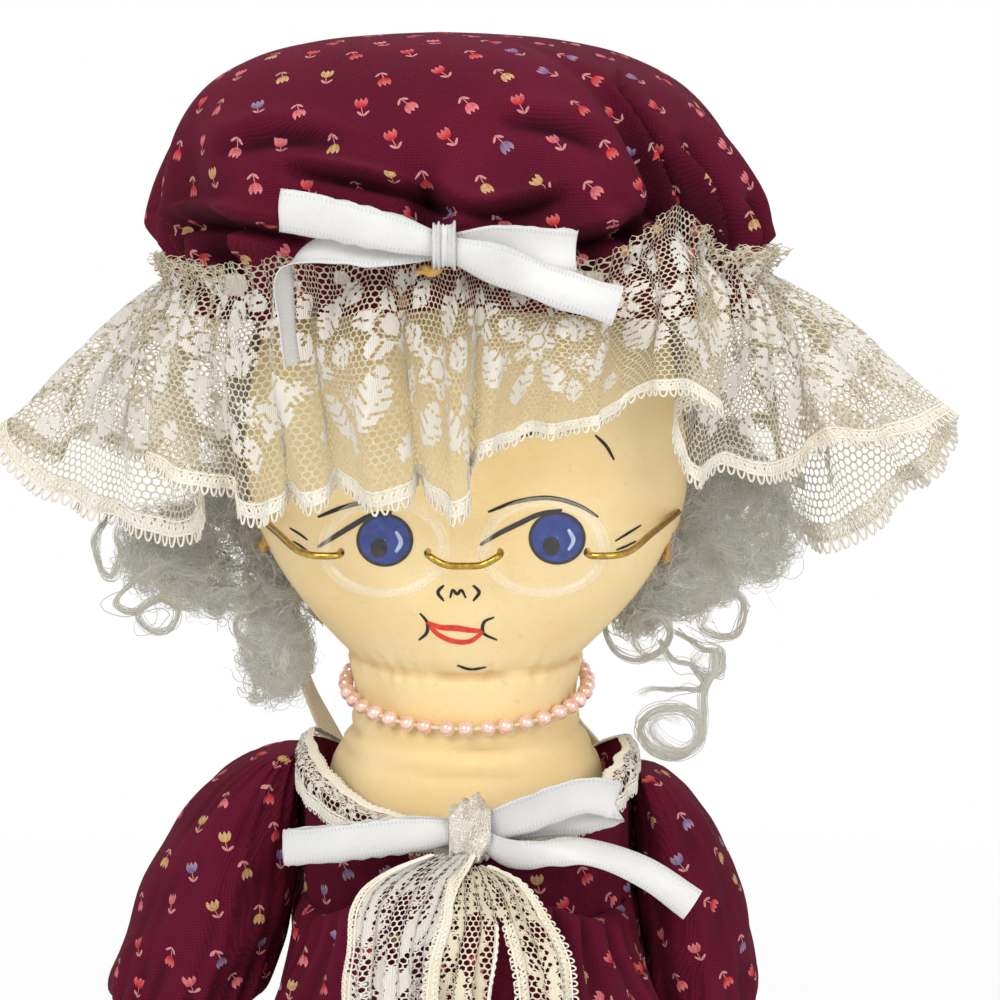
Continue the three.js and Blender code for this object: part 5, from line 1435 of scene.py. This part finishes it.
half = [(INNER, HOOK_Y, HOLE_Z), (INNER, WIRE_Y + 2, HOLE_Z), (INNER - 0.8, WIRE_Y, HOLE_Z - 0.4),
        (INNER / 2, WIRE_Y, HOLE_Z - 2.2)]
wire("bridge_brass", "bridge_wire",
     [*((-x, y, z) for x, y, z in half), (0, WIRE_Y, HOLE_Z - 2.5), *half[::-1]], 90)
temple = [(OUTER, HOOK_Y, HOLE_Z), (OUTER, WIRE_Y + 2, HOLE_Z), (OUTER + 0.85, WIRE_Y, HOLE_Z),
          (34.6, WIRE_Y, HOLE_Z), (37.6, WIRE_Y + 3, HOLE_Z), (44.9, -32.2, HOLE_Z + 1.6),
          (52.2, -12, HOLE_Z + 3)]
for name, side in SIDES:
    lens(name, side)
    wire(f"{name}_temple_brass", f"{name}_temple", np.array(temple) * (side, 1, 1), 110)

# Pearls: radius of the strand, its level and slope, and radius of a pearl
STRAND, STRAND_Z, STRAND_SLOPE, PEARL_R, PEARLS = 30.6, -10.3, math.radians(9), 2.05, 38


def pearls():
    rng = np.random.default_rng(11)
    c, s = math.cos(STRAND_SLOPE), math.sin(STRAND_SLOPE)
    tilt = np.array([(1, 0, 0), (0, c, -s), (0, s, c)])
    one = ball(11, 16, 0.16)[0].reshape(-1, 3)
    parts = []
    for k in range(PEARLS):
        turn = TURN * (k + 0.08 * rng.normal()) / PEARLS
        along = np.array((math.cos(turn), math.sin(turn), 0))
        out = np.array((math.sin(turn), -math.cos(turn), 0))
        size = PEARL_R * rng.uniform(0.95, 1.02)
        p = STRAND * out + size * (one[:, :1] * out + one[:, 1:2] * along * 0.97 + one[:, 2:] * (0, 0, 1))
        parts.append((p @ tilt.T + (0, 0, STRAND_Z), grid_faces(11, 16, True)))
    turn = ring(240)
    circle = np.stack([STRAND * np.sin(turn), -STRAND * np.cos(turn), 0 * turn], -1)
    return join(parts), tubes(circle @ tilt.T + (0, 0, STRAND_Z), 0.45, 6, True)


beads, thread = pearls()
piece("pearl_beads", *beads, PEARL, "necklace", "pearl", ("pearl_strand",))
no_cloth = {"cloth": np.zeros((len(thread[1]) * 4, 2))}
piece("pearl_thread", *thread, TAPE, "necklace", "pearl", corners=no_cloth)


# Hanging tape: places of each leg, from where it is sewn on to the level top
TAPE_FOOT = [(34.2, 29.2, -49), (34.2, 29.2, -39)]
TAPE_LEGS = {
    -1: [(44, 36, -16), (46, 43, 2), (40, 50, 19), (24, 55.5, 30)],
    1: [(27, 37.5, -27), (26, 44, -10), (29, 50, 6), (28, 54, 21), (22, 56.5, 30)],
}
TAPE_Y, TAPE_Z = 57, 33


def tape(steps=60):
    at, side = [], []
    for sign, places in TAPE_LEGS.items():
        path = line([*TAPE_FOOT, *places, (9, TAPE_Y, TAPE_Z)], steps) * (sign, 1, 1)
        share = np.linspace(0, 1, steps)
        angle = np.radians(35 + 38 * ease(share * 3.2) + 17 * share)
        lie = np.stack([-sign * np.cos(angle), np.sin(angle), 0 * angle], -1)
        at.append(path[::-sign])
        side.append(lie[::-sign])
    at = np.concatenate([at[0], [(x, TAPE_Y, TAPE_Z) for x in (-4.5, 0, 4.5)], at[1]])
    side = np.concatenate([side[0], [(0, 1, 0)] * 3, side[1]])
    along = unit(np.gradient(at, axis=0))
    side = unit(side - along * (side * along).sum(1, keepdims=True)) * TAPE_HALF
    across = np.linspace(-1, 1, 7)
    grid = at[:, None] + side[:, None] * across[None, :, None]
    return strip(grid, unit(np.cross(along, side)), 0.4, travel(at), across * TAPE_HALF)


points, faces, cloth = tape()
made = piece("tape_twill", points, faces, TAPE, None, "tape", ("hanging_tape",), {"cloth": cloth})
bend(made, (0, 29.2, -47), (0, 33, -26))


# Elastics, ribbed bands
def elastic(name, node, body, outline, height, level):
    """A band; outline gives the places round it, a little grown, and how far they droop."""
    rows, columns = 9, 240
    t, s = np.meshgrid(ring(columns), np.linspace(0, 1, rows))
    rib = 0.16 * np.cos(60 * t) * np.sin(math.pi * s)
    both = []
    for grow in (rib, rib - 0.8):
        x, y, droop = outline(t, grow)
        both.append(np.stack([x, y, level - droop + height * (0.5 - s)], -1))
    loop = np.concatenate([both[0], both[1][::-1]]).reshape(-1, 3)
    faces = grid_faces(2 * rows + 1, columns, True) % len(loop)
    flat = np.stack([np.tile(t.ravel() * 30, 2), np.concatenate([s, s[::-1]]).ravel() * height], -1)
    piece(name, loop, faces, ELASTIC, body, "elastic", (node,), {"cloth": flat[faces]})


def hem_outline(t, grow):
    half = 22.7 + grow
    return *oval(t, half, half, half), 0 * t


def cap_outline(t, grow):
    half, front, back = (size * 0.9 - 3 + grow for size in (CAP_HALF, CAP_FRONT, CAP_BACK))
    return *oval(t, half, front, back), CAP_DROOP * np.abs(np.sin(t))


elastic("hem_band", "hem_elastic", "doll", hem_outline, 6, WAIST - SKIRT_START - MOUTH_DROP)
elastic("cap_band", "cap_elastic", "head", cap_outline, 5, CAP_GATHER)
for name, side in SIDES:
    drop, out, half, deep = WRISTS[name]

    def cuff_outline(t, grow):
        x, y = oval(t, half + 1.3 + grow, deep + 1.3 + grow, deep + 1.3 + grow)
        return side * (CHEST_HALF + out) + x, y - ARM_LEAN * drop, 0 * t

    elastic(f"{name}_cuff_band", f"{name}_sleeve_elastic", f"{name}_arm", cuff_outline, 3,
            NECKLINE_SIDE - drop)


# Hair: curled strands in locks
def lock_lines(places, radius, turns, strands, rng, steps, spread, frizz):
    """Strands that wind together about one smooth line, with a few that stray."""
    guide = line(places, steps)
    s = np.linspace(0, 1, steps)
    along = unit(np.gradient(guide, axis=0))
    side = unit(np.cross(along, (0.15, 1.0, 0.1)))
    other = np.cross(along, side)
    made = []
    start, hand = rng.uniform(0, TURN), rng.choice((-1, 1))
    for k in range(strands):
        stray = 3.0 if k % 7 == 6 else 1.0
        a = start + rng.normal(0, 0.12 * stray) + hand * TURN * turns * s**1.1
        r = radius * (1 + 0.08 * stray * rng.normal()) * ease(s * 3.5)
        off = rng.normal(0, spread * stray, 3) * (0.5 + 0.5 * s[:, None])
        wander = rng.normal(0, frizz * stray, 3)
        wander = wander * np.sin(TURN * s[:, None] * rng.uniform(1, 3) + rng.uniform(0, TURN, 3))
        made.append(guide + side * (r * np.cos(a))[:, None] + other * (r * np.sin(a))[:, None] + off + wander)
    return made


def hair_piece(name, strands, replaces, seed, thick=0.12):
    lines = np.array(strands)
    steps = lines.shape[1]
    taper = thick * np.minimum(1, 2.5 * (1.04 - np.linspace(0, 1, steps)))
    points, faces = tubes(lines, taper, 3)
    dye = np.repeat(np.random.default_rng(seed).uniform(0, 1, len(lines)), (steps - 1) * 3 * 4)
    flow = np.tile(np.repeat(np.linspace(0, 1, steps - 1), 3 * 4), len(lines))
    made = piece(name, points, faces, HAIR, "head", "hair", replaces, {"cloth": np.stack([dye, flow], -1)})
    made.visible_shadow = False


def curl(at, out, rng, flow, hang, rise, radius, turns, strands, steps, spread, frizz):
    """A short curl that lies at a place, across the way out of the mass; pairs are ranges."""
    flow = unit(np.cross(out, rng.normal(size=3))) * rng.uniform(*flow) + (0, 0, -hang)
    places = [at - flow, at + out * rise, at + flow]
    return lock_lines(places, rng.uniform(*radius), rng.uniform(*turns), strands, rng, steps, spread, frizz)


CURLS = dict(flow=(4, 7.5), hang=1.5, rise=1.5, radius=(1.0, 2.6), turns=(0.8, 1.9), strands=14, steps=26,
             spread=0.8, frizz=0.3)
FLOATING = dict(flow=(3, 7), hang=0.0, rise=1.2, radius=(0.6, 2.4), turns=(0.5, 1.6), strands=1, steps=24,
                spread=0.3, frizz=0.5)
BACK_CURLS = dict(CURLS, flow=(4, 7), rise=1.4, radius=(1.0, 2.0), spread=0.7)


def puff(masses, many, within, kind, rng):
    """Curls of a kind all over rounded masses."""
    strands = []
    for (px, py), depth, half, locks in masses:
        centre = seen(px, py, depth)
        for _ in range(locks * many):
            out = unit(rng.normal(size=3))
            strands += curl(centre + out * np.array(half) * rng.uniform(*within), out, rng, **kind)
    return strands


def ringlet(places, depth, rng, strands=26, spread=0.55):
    """A lock that follows places in the picture at a depth."""
    path = [seen(px, py, depth - 0.25 * k) for k, (px, py) in enumerate(places)]
    return lock_lines(path, 0.35, 4, strands, rng, max(40, 9 * len(path)), spread, 0.25)


# Masses of hair: middle in the picture, depth, half sizes and locks
MASSES = {
    "left": [((228, 556), 2, (23, 15, 14), 86), ((276, 648), -1, (7.5, 8, 12.5), 40),
             ((168, 552), 2, (11, 11, 11), 32), ((250, 480), 6, (14, 12, 12), 24)],
    "right": [((738, 522), 2, (14.5, 14, 14), 70), ((688, 572), -2, (11, 10, 10), 48),
              ((640, 604), -4, (6, 7, 6), 18), ((705, 470), 6, (13, 12, 12), 24)],
}
# Ringlets that hang free of the masses: places in the picture
RINGLETS = {
    "left": [[(122, 505), (104, 520), (95, 546), (101, 570), (112, 576), (120, 560), (117, 536), (124, 512)],
             [(182, 560), (152, 570), (126, 588), (117, 604), (134, 612), (164, 600), (179, 610), (170, 628),
              (148, 630), (138, 616), (150, 602), (172, 598)],
             [(250, 600), (236, 622), (246, 646), (268, 650), (272, 632), (256, 624), (244, 640)]],
    "right": [[(672, 575), (640, 588), (612, 600), (603, 622), (614, 648), (640, 660), (662, 650), (668, 630),
               (655, 614), (638, 620), (636, 642), (650, 657), (674, 660)],
              [(690, 590), (712, 586), (735, 594), (745, 612), (738, 632), (716, 638), (702, 626),
               (708, 610)],
              [(676, 632), (700, 646), (720, 654), (722, 668), (706, 675), (694, 664), (702, 650)],
              [(660, 640), (674, 660), (694, 668), (706, 684), (690, 690), (666, 688), (638, 694)]],
}
RING = [(716, 650), (714, 672), (704, 694), (703, 720), (698, 744), (676, 758), (652, 749), (642, 728),
        (654, 711), (678, 706), (696, 716), (698, 738), (680, 752), (660, 744), (652, 728),
        (664, 716), (682, 720)]
rng = np.random.default_rng(103)
mohair = {name: puff(masses, 1, (0.5, 0.95), CURLS, rng) for name, masses in MASSES.items()}
for k, (name, masses) in enumerate(MASSES.items()):
    hair_piece(f"{name}_fluff", puff(masses, 12, (0.7, 1.12), FLOATING, rng), (), 131 + k, 0.075)
for k, name in enumerate(MASSES):
    hair_piece(f"{name}_mohair", mohair[name], (f"{name}_hair", f"{name}_upper_curl"), 111 + k)
for name, node in (("left", "left_outer_curl"), ("right", "right_inner_curl")):
    for k, places in enumerate(RINGLETS[name]):
        hair_piece(f"{name}_curl_{k}", ringlet(places, -9, rng), (node,) if k == 0 else (), 113 + k)
hair_piece("right_coil_hair", ringlet(RING, -13, rng, 34, 0.7), ("right_ringlet",), 118)
left_coil = lock_lines([(-49, 2, 22), (-49, -3, 4), (-46, -6, -13)], 4.4, 3.0, 34, rng, 60, 0.7, 0.35)
hair_piece("left_coil_hair", left_coil, ("left_ringlet",), 119)


def on_head(turn, z, grow):
    """A place off the back of the head, a turn from its middle."""
    share = np.interp(z, [0, 5, 21, 43, 58, 74, 90], [0.58, 0.66, 0.9, 1.0, 1.0, 0.95, 0.83])
    half, deep = HEAD_HALF * share + grow, HEAD_DEEP * share + grow
    return np.array((math.sin(turn) * half, math.cos(turn) * deep, z))


def back_hair(rng):
    """Locks that lie down the back of the head."""
    strands = []
    for _ in range(260):
        turn = rng.uniform(-0.6, 0.6) * math.pi / 1.1
        levels = ((rng.uniform(72, 84), 1.5), (48, 2.4), (rng.uniform(3, 24), 2.4))
        places = [on_head(turn, z, grow) for z, grow in levels]
        strands += lock_lines(places, 2.2, 3.0, 6, rng, 40, 0.9, 0.5)
    return strands


def back_curls(rng):
    """Short curls over those locks."""
    strands = []
    for _ in range(170):
        turn, z = rng.uniform(-0.62, 0.62) * math.pi / 1.1, rng.uniform(7, 66)
        at = on_head(turn, z, rng.uniform(1.6, 3.2))
        strands += curl(at, unit(on_head(turn, z, 9) - on_head(turn, z, 0)), rng, **BACK_CURLS)
    return strands


hair_piece("back_mohair", back_hair(np.random.default_rng(104)), ("back_hair",), 115, 0.2)
hair_piece("back_curls", back_curls(np.random.default_rng(105)), (), 116, 0.2)

# Spots of set glue under the bow and in the hair
for name, centre, size, seed in (
    ("glue_bow", (-7.5, -60.5, 99.5), (3.0, 1.4, 1.3), 121),
    ("glue_left", (-50, -10, 27), (1.6, 2.0, 2.0), 122),
    ("glue_right", (50, -9, 24), (1.6, 2.0, 2.2), 123),
):
    drop, down, turn = ball(14, 24, 0.05)
    drop = drop * (1 + 0.16 * waves(turn, 2, 6, seed) * np.sin(down))[..., None]
    piece(name, (drop * size + centre).reshape(-1, 3), grid_faces(14, 24, True), GLUE, "head", "tape")
